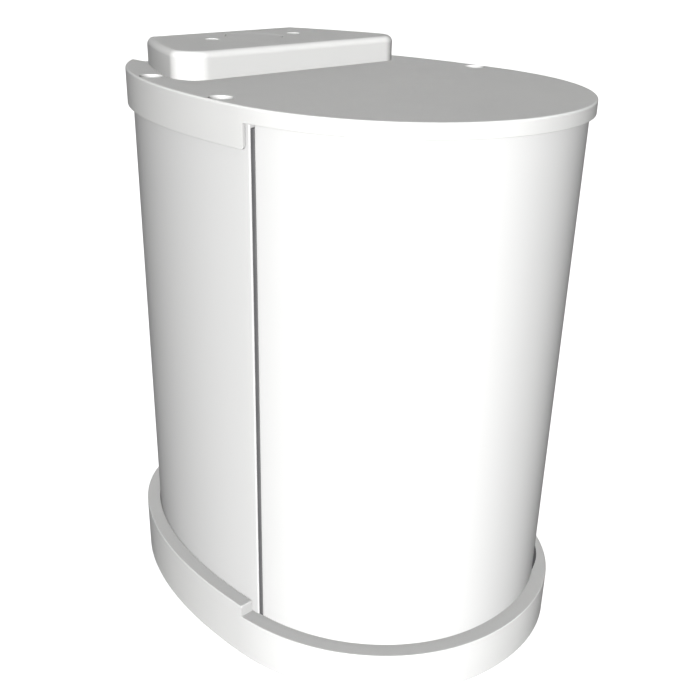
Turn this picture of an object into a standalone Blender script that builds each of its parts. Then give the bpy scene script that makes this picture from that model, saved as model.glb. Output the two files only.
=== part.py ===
"""A free-standing trash compactor: an oval drum whose front pulls out as a drawer, with a screw-driven ram above the bin.

Metres, +Z up, the front faces -Y. The origin is at the middle of the footprint, on the floor.
"""
from math import asin, atan2, ceil, copysign, cos, hypot, pi, radians, sin

import bmesh
import bpy
from mathutils import Euler, Matrix, Vector

# Driving dimensions: the oval, seen from above, that the lid, the body and the plinth share
HALF_WIDTH = 0.275
FRONT_DEPTH = 0.290
REAR_DEPTH = 0.452
FRONT_POWER = 2.08
REAR_POWER = 2.15
WIDEST_Y = (FRONT_DEPTH - REAR_DEPTH) / 2

# How far each layer stands inside (+) or outside (-) the lid's oval
PLINTH_INSET = -0.0145
LIP_INSET = 0.0078
BODY_INSET = 0.0084
SHEET = 0.0025
INNER_INSET = BODY_INSET + SHEET

# Heights
PLINTH_BOTTOM = 0.003
LEDGE_TOP = 0.075
LIP_TOP = 0.094
SHELL_TOP = 0.804
DOOR_BOTTOM = 0.077
DOOR_TOP = 0.8045
TALL_SKIRT_BOTTOM = 0.774
SHORT_SKIRT_BOTTOM = 0.806
LID_TOP = 0.826
LID_THICKNESS = 0.004
COVER_TOP = 0.863

# Lines across the plan
SEAM_Y = -0.109
CABINET_FRONT = -0.1038
DOOR_BACK = -0.11125
STEP_Y = -0.091
SKIRT_END_Y = -0.102
NOTCH_HALF = 0.135
NOTCH_FLOOR = 0.289

# Frame, screws and ram
GAP = 0.0003
FLOOR = LEDGE_TOP + GAP
PLATE_BOTTOM = 0.772
PLATE_TOP = 0.776
FRAME_X = 0.1820
FRAME_FRONT = -0.101
FRAME_BACK = 0.205
SCREW_X = 0.210
SCREW_Y = -0.040
SCREW_RADIUS = 0.008
WINDOW_HALF = 0.043
WINDOW_BOTTOM = 0.465
WINDOW_TOP = 0.768
RAM_BOTTOM = 0.600
BRIDGE_BOTTOM = 0.735
BRIDGE_TOP = 0.765
BRIDGE_HALF = 0.035

# Drive
PULLEY_BOTTOM = 0.790
PULLEY_TOP = 0.802
SCREW_PULLEY_RADIUS = 0.030
MOTOR_PULLEY_RADIUS = 0.012
MOTOR_Y = 0.232
BELT_THICKNESS = 0.0025

# Bin, carrier and slides
BIN_HALF = 0.150
BIN_FRONT = -0.300
BIN_BACK = 0.175
BIN_BOTTOM = 0.0925
BIN_TOP = 0.455
CARRIER_HALF = 0.1575
CARRIER_FRONT = -0.262
CARRIER_BACK = 0.180
SLIDE_Z = 0.1375
BAIL_Y = 0.053
BAIL_Z = 0.468
BAIL_REACH = 0.115
BAIL_RADIUS = 0.003
DOOR_DEPTH = 0.022
LATCH_X = -0.218
LATCH_Z = 0.330
LATCH_RADIUS = 0.004

# Drive cover and its button
BUTTON_Y = 0.193
BUTTON_RADIUS = 0.0430
BOARD_BOTTOM = 0.8300
LENS_X = 0.0815
LENS_RADIUS = 0.0098
COVER_WALL = 0.003
RECESSES = [(0.2545, -0.038), (0.2176, 0.159)]
RECESS_RADIUS = 0.016
CORNERS = ("front_left", "front_right", "rear_left", "rear_right")
LOOM_WAY = (-0.100, 0.235)
LOOM_RADIUS = 0.004

WHITE = ((0.88, 0.88, 0.87), 0.35, 0.0)
WHITE_PLASTIC = ((0.86, 0.86, 0.85), 0.45, 0.0)
STEEL = ((0.55, 0.56, 0.58), 0.35, 1.0)
ZINC = ((0.62, 0.63, 0.64), 0.45, 1.0)
BRASS = ((0.75, 0.58, 0.28), 0.35, 1.0)
RUBBER = ((0.04, 0.04, 0.045), 0.8, 0.0)
DARK_PLASTIC = ((0.06, 0.06, 0.07), 0.5, 0.0)
BIN_GREY = ((0.30, 0.32, 0.34), 0.5, 0.0)
BOARD_GREEN = ((0.03, 0.18, 0.08), 0.5, 0.0)
LENS_WHITE = ((0.95, 0.95, 0.93), 0.2, 0.0)


# ---- scene helpers -------------------------------------------------------------------------------------------------

def start_collections():
    """Empty the file and return the collection of parts and the collection of cutters."""
    for old in list(bpy.data.objects):
        bpy.data.objects.remove(old, do_unlink=True)
    made = []
    for name in ("trash_compactor", "cutters"):
        made.append(bpy.data.collections.new(name))
        bpy.context.scene.collection.children.link(made[-1])
    return made


PARTS, CUTTERS = start_collections()


def make_material(name, look):
    colour, roughness, metallic = look
    material = bpy.data.materials.new(name)
    material.use_nodes = True
    shader = material.node_tree.nodes["Principled BSDF"]
    shader.inputs["Base Color"].default_value = (*colour, 1.0)
    shader.inputs["Roughness"].default_value = roughness
    shader.inputs["Metallic"].default_value = metallic
    material.diffuse_color = (*colour, 1.0)
    return material


def finish_object(name, mesh_builder, look=None, origin=(0, 0, 0)):
    """Turn a bmesh into an object: a part with its own material, or a cutter when no look is given."""
    mesh = bpy.data.meshes.new(name)
    bmesh.ops.translate(mesh_builder, verts=mesh_builder.verts, vec=-Vector(origin))
    mesh_builder.to_mesh(mesh)
    mesh_builder.free()
    mesh.shade_smooth()
    mesh.set_sharp_from_angle(angle=radians(35))
    thing = bpy.data.objects.new(name, mesh)
    thing.location = origin
    if look is None:
        CUTTERS.objects.link(thing)
        thing.display_type = "WIRE"
        thing.hide_render = True
    else:
        PARTS.objects.link(thing)
        mesh.materials.append(make_material(name, look))
    return thing


def combine(target, tool, operation="DIFFERENCE"):
    """Cut target with tool, or join tool to it; the tool stays as a guide."""
    boolean = target.modifiers.new(operation.title(), "BOOLEAN")
    boolean.operation = operation
    boolean.object = tool
    boolean.solver = "EXACT"
    return target


def bevel(target, width, segments=2, angle=40):
    edge = target.modifiers.new("Bevel", "BEVEL")
    edge.width = width
    edge.segments = segments
    edge.limit_method = "ANGLE"
    edge.angle_limit = radians(angle)
    edge.harden_normals = False
    return target


def solidify(target, thickness, inward=True):
    shell = target.modifiers.new("Solidify", "SOLIDIFY")
    shell.thickness = thickness
    shell.offset = -1.0 if inward else 1.0
    shell.use_even_offset = True
    return target


# ---- shape helpers -------------------------------------------------------------------------------------------------

def box_mesh(low, high, into=None):
    """A box between two corners."""
    result = into or bmesh.new()
    middle = (Vector(low) + Vector(high)) / 2
    size = Vector(high) - Vector(low)
    bmesh.ops.create_cube(result, size=1, matrix=Matrix.Translation(middle) @ Matrix.Diagonal((*size, 1)))
    return result


def rod_mesh(centre, radius, low, high, axis="Z", sides=20, into=None, top_radius=None):
    """A cylinder or cone: centre gives the two coordinates across the axis, in X, Y, Z order."""
    result = into or bmesh.new()
    place = {
        "X": ((low + high) / 2, centre[0], centre[1]),
        "Y": (centre[0], (low + high) / 2, centre[1]),
        "Z": (centre[0], centre[1], (low + high) / 2),
    }[axis]
    turn = {"X": (0, pi / 2, 0), "Y": (-pi / 2, 0, 0), "Z": (0, 0, 0)}[axis]
    matrix = Matrix.Translation(place) @ Euler(turn).to_matrix().to_4x4()
    bmesh.ops.create_cone(
        result, cap_ends=True, segments=sides, radius1=radius,
        radius2=radius if top_radius is None else top_radius, depth=high - low, matrix=matrix,
    )
    return result


def turned_mesh(profile, centre, axis="Z", sides=20, ring=False, into=None):
    """A turned shape from (radius, height) points, listed top to bottom; a ring's profile is a closed loop."""
    body = bmesh.new()
    corners = [body.verts.new((radius, 0, height)) for radius, height in profile]
    pairs = list(zip(corners, corners[1:])) + ([(corners[-1], corners[0])] if ring else [])
    edges = [body.edges.new(pair) for pair in pairs]
    bmesh.ops.spin(body, geom=corners + edges, cent=(0, 0, 0), axis=(0, 0, 1), angle=2 * pi, steps=sides, use_merge=True)
    bmesh.ops.remove_doubles(body, verts=body.verts, dist=1e-6)
    bmesh.ops.recalc_face_normals(body, faces=body.faces)
    if axis == "Z":
        body.transform(Matrix.Translation((centre[0], centre[1], 0)))
    elif axis == "X":
        body.transform(Matrix.Translation((0, centre[0], centre[1])) @ Matrix.Rotation(pi / 2, 4, "Y"))
    else:
        body.transform(Matrix.Translation((centre[0], 0, centre[1])) @ Matrix.Rotation(-pi / 2, 4, "X"))
    return merged(body, into)


def merged(shape, into):
    """Add a bmesh to another one, or hand it back when there is no other."""
    if into is None:
        return shape
    mesh = bpy.data.meshes.new("merged")
    shape.to_mesh(mesh)
    shape.free()
    into.from_mesh(mesh)
    bpy.data.meshes.remove(mesh)
    return into


def outline_mesh(points, low, high, plane="XY", into=None):
    """A flat outline, filled and given a thickness. Plane YZ is extruded along X, and XZ along Y."""
    curve = bpy.data.curves.new("outline", "CURVE")
    curve.dimensions = "2D"
    curve.fill_mode = "BOTH"
    curve.extrude = (high - low) / 2
    spline = curve.splines.new("POLY")
    spline.points.add(len(points) - 1)
    for point, (u, v) in zip(spline.points, points):
        point.co = (u, v, 0, 1)
    spline.use_cyclic_u = True
    guide = bpy.data.objects.new("outline", curve)
    CUTTERS.objects.link(guide)
    graph = bpy.context.evaluated_depsgraph_get()
    mesh = bpy.data.meshes.new_from_object(guide.evaluated_get(graph))
    bpy.data.objects.remove(guide, do_unlink=True)
    flat = bmesh.new()
    flat.from_mesh(mesh)
    bmesh.ops.remove_doubles(flat, verts=flat.verts, dist=1e-6)
    bmesh.ops.dissolve_limit(flat, angle_limit=radians(0.5), verts=flat.verts, edges=flat.edges)
    bmesh.ops.recalc_face_normals(flat, faces=flat.faces)
    turn = {
        "XY": Matrix.Identity(4),
        "YZ": Matrix(((0, 0, 1, 0), (1, 0, 0, 0), (0, 1, 0, 0), (0, 0, 0, 1))),
        "XZ": Matrix(((1, 0, 0, 0), (0, 0, -1, 0), (0, 1, 0, 0), (0, 0, 0, 1))),
    }[plane]
    along = -(low + high) / 2 if plane == "XZ" else (low + high) / 2
    flat.transform(turn @ Matrix.Translation((0, 0, along)))
    return merged(flat, into)


def wall_mesh(path, low, high, closed=False):
    """An upright open surface along a path; its faces look to the right of the path's direction."""
    sheet = bmesh.new()
    feet = [sheet.verts.new((x, y, low)) for x, y in path]
    edges = [sheet.edges.new(pair) for pair in zip(feet, feet[1:])]
    if closed:
        edges.append(sheet.edges.new((feet[-1], feet[0])))
    top = bmesh.ops.extrude_edge_only(sheet, edges=edges)["geom"]
    bmesh.ops.translate(sheet, verts=[v for v in top if isinstance(v, bmesh.types.BMVert)], vec=(0, 0, high - low))
    step = Vector((path[1][0] - path[0][0], path[1][1] - path[0][1], 0))
    first = next(face for face in sheet.faces if feet[0] in face.verts and feet[1] in face.verts)
    first.normal_update()
    if first.normal.dot(Vector((step.y, -step.x, 0))) < 0:
        bmesh.ops.reverse_faces(sheet, faces=sheet.faces)
    return sheet


def arc(centre, radius, start, stop, steps):
    """Points on an arc, angles in degrees."""
    angles = [radians(start + (stop - start) * i / steps) for i in range(steps + 1)]
    return [(centre[0] + radius * cos(a), centre[1] + radius * sin(a)) for a in angles]


def rounded_box(low, high, radii, steps=4):
    """A rectangle with its own corner radius at front right, back right, back left and front left."""
    corners = [(high[0], low[1], 1, -1), (high[0], high[1], 1, 1), (low[0], high[1], -1, 1), (low[0], low[1], -1, -1)]
    points = []
    for index, ((x, y, sx, sy), radius) in enumerate(zip(corners, radii)):
        points += arc((x - sx * radius, y - sy * radius), radius, 90 * index - 90, 90 * index, steps)
    return points


# ---- the shared oval -----------------------------------------------------------------------------------------------

def oval_point(angle, inset):
    """A point of the oval at a parameter angle, moved inward by inset along its normal."""
    c, s = cos(angle), sin(angle)
    power, depth = (FRONT_POWER, FRONT_DEPTH) if s < 0 else (REAR_POWER, REAR_DEPTH)
    x = HALF_WIDTH * copysign(abs(c) ** (2 / power), c)
    y = depth * copysign(abs(s) ** (2 / power), s)
    nx = copysign(abs(x / HALF_WIDTH) ** (power - 1) / HALF_WIDTH, x)
    ny = copysign(abs(y / depth) ** (power - 1) / depth, y)
    length = hypot(nx, ny)
    return x - inset * nx / length, y - inset * ny / length + WIDEST_Y


def oval_angle(inset, index, value, low, high):
    """The parameter angle in degrees, between low and high, where coordinate index (0 = x, 1 = y) has a value."""
    rising = oval_point(radians(high), inset)[index] > oval_point(radians(low), inset)[index]
    for _ in range(50):
        middle = (low + high) / 2
        if (oval_point(radians(middle), inset)[index] < value) == rising:
            low = middle
        else:
            high = middle
    return low


def oval_arc(inset, start, stop, pitch=7.5):
    """Points of the oval between two parameter angles in degrees."""
    steps = max(1, ceil(abs(stop - start) / pitch))
    return [oval_point(radians(start + (stop - start) * i / steps), inset) for i in range(steps + 1)]


def mirrored(points):
    return [(-x, y) for x, y in reversed(points)]


def full_oval(inset):
    return oval_arc(inset, -90, 270)[:-1]


def front_arc(inset, back_y):
    """The oval's front, from the left end on the line back_y round to the right end."""
    right = oval_arc(inset, -90, oval_angle(inset, 1, back_y, -90, 89))
    return mirrored(right)[:-1] + right


def rear_path(inset, front_y):
    """The cabinet's plan from its right front end, round the back with its notch, to its left front end."""
    start = oval_angle(inset, 1, front_y, -90, 89)
    stop = oval_angle(inset, 0, NOTCH_HALF + inset, 20, 90)
    right = oval_arc(inset, start, stop) + [(NOTCH_HALF + inset, NOTCH_FLOOR - inset)]
    return right + mirrored(right)


def notched_oval(inset):
    """The lid's plan, all round."""
    start = oval_angle(inset, 1, SEAM_Y, -90, 89)
    return front_arc(inset, SEAM_Y)[1:-1] + rear_path(inset, oval_point(radians(start), inset)[1])


# ---- plinth, cabinet and lid ---------------------------------------------------------------------------------------

def build_plinth():
    """An oval tray: low ledge under the drawer, raised lip round the cabinet, hollow underneath, four foot bosses."""
    base = outline_mesh(full_oval(PLINTH_INSET), PLINTH_BOTTOM, LEDGE_TOP)
    plinth = bevel(finish_object("base_plinth", base, WHITE_PLASTIC), 0.0025, segments=1)
    lip = finish_object("plinth_lip", outline_mesh(full_oval(PLINTH_INSET), 0.055, LIP_TOP))
    combine(lip, finish_object("lip_front", box_mesh((-0.4, -0.5, 0.0), (0.4, STEP_Y, 0.2))))
    combine(lip, finish_object("lip_inside", outline_mesh(full_oval(LIP_INSET), 0.0, 0.2)))
    combine(plinth, bevel(lip, 0.002, segments=1), "UNION")
    hollow = outline_mesh(full_oval(PLINTH_INSET + 0.008), -0.01, LEDGE_TOP - 0.005)
    combine(plinth, finish_object("plinth_hollow", hollow))
    relief = outline_mesh([(x + 0.006, y) for x, y in front_arc(BODY_INSET, -0.2)], LEDGE_TOP - 0.004, 0.2)
    combine(plinth, finish_object("plinth_relief", relief))
    bosses = bmesh.new()
    sockets = bmesh.new()
    for x, y in foot_places():
        rod_mesh((x, y), 0.020, PLINTH_BOTTOM, LEDGE_TOP - 0.002, into=bosses)
        rod_mesh((x, y), 0.0155, -0.01, 0.006, into=sockets)
    combine(plinth, finish_object("plinth_bosses", bosses), "UNION")
    combine(plinth, finish_object("plinth_sockets", sockets))


def foot_places():
    return [(sx * x, y) for x, y in ((0.17, -0.23), (0.15, 0.25)) for sx in (-1, 1)]


def build_feet():
    for name, place in zip(CORNERS, foot_places()):
        finish_object(name + "_foot", rod_mesh(place, 0.015, 0.0, 0.006 - GAP), RUBBER)


def build_cabinet_shell():
    """The rear wrap, with flanges turned in at the seam, a channel down the back and an opening for service."""
    path = rear_path(BODY_INSET, CABINET_FRONT)
    flange = 0.020
    path = [(path[0][0] - flange, CABINET_FRONT)] + path + [(path[-1][0] + flange, CABINET_FRONT)]
    shell = finish_object("cabinet_shell", wall_mesh(path, FLOOR, SHELL_TOP), WHITE)
    bevel(shell, 0.003)
    solidify(shell, SHEET)
    lugs = bmesh.new()
    threads = bmesh.new()
    for place in recess_places():
        rod_mesh(place, 0.0106, SHELL_TOP - 0.012, SHELL_TOP - 0.0005, into=lugs)
        rod_mesh(place, 0.0034, 0.7, 0.9, into=threads, sides=16)
    combine(shell, finish_object("screw_lugs", lugs), "UNION")
    combine(shell, finish_object("lug_threads", threads))
    combine(shell, finish_object("service_hole", box_mesh((-0.095, 0.25, 0.24), (0.095, 0.30, 0.70))))
    combine(shell, finish_object("inlet_hole", box_mesh((-0.024, 0.25, 0.136), (0.024, 0.30, 0.166))))


def build_lid():
    """A plate with a skirt that is deep over the cabinet and shallow over the drawer, and four screw recesses."""
    lid = finish_object("lid_cover", outline_mesh(notched_oval(0), TALL_SKIRT_BOTTOM, LID_TOP), WHITE_PLASTIC)
    corner = 0.005
    side = [(-0.5, SHORT_SKIRT_BOTTOM), (-0.5, 0.7), (SKIRT_END_Y + corner, 0.7)]
    side += arc((SKIRT_END_Y + corner, TALL_SKIRT_BOTTOM + corner), corner, -90, -180, 3)
    side += [(SKIRT_END_Y, SHORT_SKIRT_BOTTOM)]
    combine(lid, finish_object("lid_front", outline_mesh(side, -0.4, 0.4, plane="YZ")))
    bevel(lid, 0.0018, segments=1)
    cavity = outline_mesh(notched_oval(LID_THICKNESS), 0.7, LID_TOP - LID_THICKNESS)
    combine(lid, finish_object("lid_cavity", cavity))
    cups = bmesh.new()
    recesses = bmesh.new()
    holes = rod_mesh(LOOM_WAY, 0.012, 0.7, 0.9, sides=16)
    for x, y in recess_places():
        rod_mesh((x, y), RECESS_RADIUS + 0.0022, SHORT_SKIRT_BOTTOM, LID_TOP - 0.002, into=cups)
        rod_mesh((x, y), RECESS_RADIUS, SHORT_SKIRT_BOTTOM + 0.003, 0.9, into=recesses, sides=28)
        rod_mesh((x, y), 0.0033, 0.7, 0.9, into=holes, sides=12)
    for x in (-0.078, 0.078):
        for y in (0.157, 0.219):
            rod_mesh((x, y), 0.004, LID_TOP - 0.002, BOARD_BOTTOM - GAP, into=cups, sides=12)
    combine(lid, finish_object("lid_cups", cups), "UNION")
    combine(lid, finish_object("lid_recesses", recesses))
    combine(lid, finish_object("lid_holes", holes))


def recess_places():
    return [(sx * x, y) for x, y in RECESSES for sx in (-1, 1)]


def build_lid_screws():
    seat = SHORT_SKIRT_BOTTOM + 0.003 + GAP
    head, shank, tip = 0.0060, 0.0030, seat - 0.018
    profile = [(0, seat + 0.0045), (head, seat + 0.0045), (head, seat), (shank, seat), (shank, tip), (0, tip)]
    for name, place in zip(CORNERS, recess_places()):
        finish_object(name + "_lid_screw", turned_mesh(profile, place, sides=16), STEEL)


# ---- drive cover, button and board ---------------------------------------------------------------------------------

def cover_outline():
    """Flat front, large front corners, sides that close in towards the back in a slight curve."""
    corner, turn = 0.035, 14.5
    front_y, back_y, back_half = 0.081, 0.271, 0.1425
    centre = (0.1765, front_y + corner)
    right = arc(centre, corner, -90, turn, 7)
    start, end = Vector(right[-1]), Vector((back_half, back_y))
    chord = end - start
    bulge = Vector((chord.y, -chord.x)).normalized() * 0.0045
    for step in range(1, 6):
        t = step / 5
        right.append(tuple(start + chord * t + bulge * (4 * t * (1 - t))))
    return right + mirrored(right)


def build_drive_cover():
    shell = outline_mesh(cover_outline(), LID_TOP + GAP, COVER_TOP)
    base = min(shell.faces, key=lambda face: face.calc_center_median().z)
    bmesh.ops.delete(shell, geom=[base], context="FACES")
    cover = finish_object("drive_cover", shell, WHITE_PLASTIC)
    bevel(cover, 0.0095, segments=3)
    solidify(cover, COVER_WALL)
    holes = rod_mesh((0, BUTTON_Y), BUTTON_RADIUS + 0.0007, 0.85, 0.90, sides=36)
    for x in (-LENS_X, LENS_X):
        rod_mesh((x, BUTTON_Y), LENS_RADIUS + GAP, 0.85, 0.90, into=holes)
    combine(cover, finish_object("cover_holes", holes))


def build_button():
    """A round cap flush with the cover, with a flange that stops it and a stem that reaches the switch."""
    ceiling = COVER_TOP - COVER_WALL - GAP
    rim, flange, stem, under = BUTTON_RADIUS, BUTTON_RADIUS + 0.0035, 0.006, COVER_TOP - 0.0065
    profile = [(0, COVER_TOP), (rim - 0.0008, COVER_TOP), (rim, COVER_TOP - 0.0008), (rim, ceiling), (flange, ceiling)]
    profile += [(flange, under), (stem, under), (stem, 0.8380), (0, 0.8380)]
    finish_object("start_button", turned_mesh(profile, (0, BUTTON_Y), sides=36), WHITE_PLASTIC, (0, BUTTON_Y, COVER_TOP))
    points = []
    turns, per_turn = 3, 8
    low, high = BOARD_BOTTOM + 0.0026, under - 0.0010
    for step in range(turns * per_turn + 1):
        angle = 2 * pi * step / per_turn
        points.append((0.0085 * cos(angle), BUTTON_Y + 0.0085 * sin(angle), low + (high - low) * step / turns / per_turn))
    wire_object("button_spring", points, 0.0006, STEEL)


def wire_object(name, points, radius, look, origin=(0, 0, 0)):
    """A round wire or cable along points."""
    curve = bpy.data.curves.new(name, "CURVE")
    curve.dimensions = "3D"
    curve.bevel_depth = radius
    curve.bevel_resolution = 2
    curve.use_fill_caps = True
    spline = curve.splines.new("POLY")
    spline.points.add(len(points) - 1)
    for point, place in zip(spline.points, points):
        point.co = (*(Vector(place) - Vector(origin)), 1)
    thing = bpy.data.objects.new(name, curve)
    thing.location = origin
    PARTS.objects.link(thing)
    curve.materials.append(make_material(name, look))
    return thing


def build_lenses():
    ceiling = COVER_TOP - COVER_WALL - GAP
    for name, x in (("left_indicator", -LENS_X), ("right_indicator", LENS_X)):
        top = COVER_TOP - 0.0002
        profile = [(0, top), (0.0085, top), (LENS_RADIUS, top - 0.0012), (LENS_RADIUS, ceiling), (0.0118, ceiling)]
        profile += [(0.0118, ceiling - 0.002), (0, ceiling - 0.002)]
        finish_object(name, turned_mesh(profile, (x, BUTTON_Y)), LENS_WHITE)


def build_board():
    """The control board with its push switch, resting on the lid's posts."""
    board = box_mesh((-0.085, 0.150, BOARD_BOTTOM), (0.085, 0.226, BOARD_BOTTOM + 0.0016))
    board = finish_object("control_board", board, BOARD_GREEN)
    low, high = (-0.0045, BUTTON_Y - 0.0045, BOARD_BOTTOM + 0.001), (0.0045, BUTTON_Y + 0.0045, BOARD_BOTTOM + 0.0045)
    combine(board, finish_object("board_switch", box_mesh(low, high)), "UNION")


# ---- back of the cabinet -------------------------------------------------------------------------------------------

def build_back():
    """Service panel with louvres, its screws, the power inlet and the loom from the inlet up to the board."""
    face = NOTCH_FLOOR - BODY_INSET + GAP
    outer = face + 0.0018
    panel = finish_object("rear_panel", box_mesh((-0.105, face, 0.230), (0.105, outer, 0.710)), WHITE)
    slots = bmesh.new()
    for row in range(9):
        z = 0.56 + 0.014 * row
        box_mesh((-0.060, face - 0.01, z), (0.060, face + 0.01, z + 0.005), into=slots)
    combine(panel, finish_object("panel_slots", slots))
    profile = [(0, outer + 0.0022), (0.0030, outer + 0.0018), (0.0038, outer + GAP), (0, outer + GAP)]
    for name, x in (("left_panel_screw", -0.099), ("right_panel_screw", 0.099)):
        finish_object(name, turned_mesh(profile, (x, 0.47), axis="Y", sides=14), STEEL)

    inlet = finish_object("power_inlet", box_mesh((-0.0235, 0.262, 0.1363), (0.0235, face + 0.002, 0.1657)), DARK_PLASTIC)
    flange = box_mesh((-0.030, face, 0.132), (0.030, face + 0.003, 0.170))
    combine(inlet, finish_object("inlet_flange", flange), "UNION")
    socket = box_mesh((-0.0125, 0.266, 0.1420), (0.0125, 0.30, 0.1600))
    combine(inlet, finish_object("inlet_socket", socket))

    x, y = LOOM_WAY
    route = [(0.0, 0.2612, 0.151), (0.0, 0.255, 0.151), (-0.010, 0.247, 0.152), (-0.040, 0.240, 0.160), (-0.075, y, 0.185), (-0.095, y, 0.23)]
    route += [(x, y, 0.26 + 0.06 * step) for step in range(10)]
    route += [(x, y, 0.832), (x + 0.002, y - 0.003, 0.838), (x + 0.008, y - 0.010, 0.8405), (x + 0.018, y - 0.02, 0.8405)]
    wire_object("wiring_loom", route, LOOM_RADIUS, DARK_PLASTIC)


def build_seal():
    """A rubber U round the opening, which the drawer's flanges close against."""
    outer, inner, low, high = 0.2645, 0.2535, FLOOR, 0.800
    path = [(-outer, low), (outer, low), (outer, high), (inner, high), (inner, low + 0.0035)]
    path += [(-inner, low + 0.0035), (-inner, high), (-outer, high)]
    finish_object("door_seal", outline_mesh(path, DOOR_BACK + 0.0006, CABINET_FRONT - GAP, plane="XZ"), RUBBER)


# ---- inner frame and drive -----------------------------------------------------------------------------------------

def build_side_frame(name, side):
    """A folded sheet with a window in which the ram's bridge runs, and the screw's lower bearing welded on."""
    path = [(0.200, FRAME_FRONT), (FRAME_X, FRAME_FRONT), (FRAME_X, FRAME_BACK), (0.200, FRAME_BACK)]
    path = [(side * x, y) for x, y in path]
    frame = finish_object(name, wall_mesh(path, FLOOR, PLATE_BOTTOM - GAP), ZINC)
    solidify(frame, SHEET, inward=side < 0)
    ends = sorted((side * 0.170, side * 0.196))
    low = (ends[0], SCREW_Y - WINDOW_HALF, WINDOW_BOTTOM)
    high = (ends[1], SCREW_Y + WINDOW_HALF, WINDOW_TOP)
    combine(frame, finish_object(name + "_window", box_mesh(low, high)))
    ends = sorted((side * (FRAME_X + 0.001), side * 0.236))
    block = box_mesh((ends[0], SCREW_Y - 0.018, 0.431), (ends[1], SCREW_Y + 0.018, 0.447))
    combine(frame, finish_object(name + "_block", block), "UNION")
    bore = rod_mesh((side * SCREW_X, SCREW_Y), SCREW_RADIUS + GAP, 0.42, 0.46)
    combine(frame, finish_object(name + "_bore", bore))


def build_frame():
    build_side_frame("left_side_frame", -1)
    build_side_frame("right_side_frame", 1)
    back = box_mesh((-0.1808, 0.1860, FLOOR), (0.1808, 0.1885, PLATE_BOTTOM - GAP))
    finish_object("chamber_back", back, ZINC)
    plate = finish_object("drive_plate", outline_mesh(rear_path(0.0125, -0.100), PLATE_BOTTOM, PLATE_TOP), ZINC)
    holes = rod_mesh((0, MOTOR_Y), 0.008, 0.7, 0.8)
    rod_mesh(LOOM_WAY, 0.010, 0.7, 0.8, into=holes)
    for x in (-SCREW_X, SCREW_X):
        rod_mesh((x, SCREW_Y), 0.010, 0.7, 0.8, into=holes)
    combine(plate, finish_object("plate_holes", holes))


def build_screw(side_name, x):
    place = (x, SCREW_Y)
    origin = (x, SCREW_Y, PLATE_TOP)
    radius = SCREW_RADIUS
    profile = [(0, 0.812), (radius - 0.001, 0.812), (radius, 0.811), (radius, 0.429), (radius - 0.001, 0.428), (0, 0.428)]
    finish_object(side_name + "_power_screw", turned_mesh(profile, place), STEEL, origin)
    pulley = pulley_profile(SCREW_PULLEY_RADIUS, 0.0025)
    bore = radius + GAP
    profile = [(bore, pulley[0][1])] + pulley + [(bore, pulley[-1][1])]
    finish_object(side_name + "_screw_pulley", turned_mesh(profile, place, sides=28, ring=True), ZINC, origin)


def pulley_profile(radius, flange):
    """The outer side of a flanged belt pulley, top to bottom."""
    lip = 0.0012
    top, bottom = PULLEY_TOP + lip, PULLEY_BOTTOM - lip
    return [(radius + flange, top), (radius + flange, PULLEY_TOP), (radius, PULLEY_TOP), (radius, PULLEY_BOTTOM),
            (radius + flange, PULLEY_BOTTOM), (radius + flange, bottom)]


def build_drive():
    """Power screws with their pulleys and bearings, the gear motor with its pulley, and the belt round all three."""
    build_screw("left", -SCREW_X)
    build_screw("right", SCREW_X)
    bore = SCREW_RADIUS + GAP
    profile = [(bore, 0.7875), (0.014, 0.7875), (0.014, 0.781), (0.020, 0.781), (0.020, PLATE_TOP + GAP)]
    profile.append((bore, PLATE_TOP + GAP))
    for name, x in (("left_screw_bearing", -SCREW_X), ("right_screw_bearing", SCREW_X)):
        finish_object(name, turned_mesh(profile, (x, SCREW_Y), ring=True), STEEL)

    place = (0, MOTOR_Y)
    profile = [(0, PLATE_BOTTOM - GAP), (0.038, PLATE_BOTTOM - GAP), (0.038, 0.712), (0.034, 0.710), (0.034, 0.622)]
    profile += [(0.031, 0.618), (0, 0.618)]
    finish_object("gear_motor", turned_mesh(profile, place, sides=32), STEEL)
    pulley = pulley_profile(MOTOR_PULLEY_RADIUS, 0.0025)
    shaft = 0.004
    profile = [(0, 0.812), (shaft, 0.812), (shaft, pulley[0][1])] + pulley + [(shaft, pulley[-1][1]), (shaft, 0.7723)]
    finish_object("motor_pulley", turned_mesh(profile + [(0, 0.7723)], place), STEEL, (0, MOTOR_Y, PLATE_TOP))

    circles = [(-SCREW_X, SCREW_Y, SCREW_PULLEY_RADIUS), (SCREW_X, SCREW_Y, SCREW_PULLEY_RADIUS)]
    circles += [(0, MOTOR_Y, MOTOR_PULLEY_RADIUS)]
    path = belt_path(circles, GAP + BELT_THICKNESS)
    belt = wall_mesh(path, PULLEY_BOTTOM + 0.001, PULLEY_TOP - 0.001, closed=True)
    solidify(finish_object("drive_belt", belt, RUBBER), BELT_THICKNESS)


def belt_path(circles, offset):
    """The outer line of a belt round circles (x, y, radius), listed anticlockwise."""
    normals = []
    for (x, y, radius), (nx, ny, next_radius) in zip(circles, circles[1:] + circles[:1]):
        span = hypot(nx - x, ny - y)
        normals.append(atan2(ny - y, nx - x) - pi / 2 + asin((radius - next_radius) / span))
    path = []
    for (x, y, radius), arriving, leaving in zip(circles, normals[-1:] + normals[:-1], normals):
        turn = (leaving - arriving) % (2 * pi)
        steps = max(3, ceil(turn / radians(15)))
        path += arc((x, y), radius + offset, arriving * 180 / pi, (arriving + turn) * 180 / pi, steps)
    return path


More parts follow.
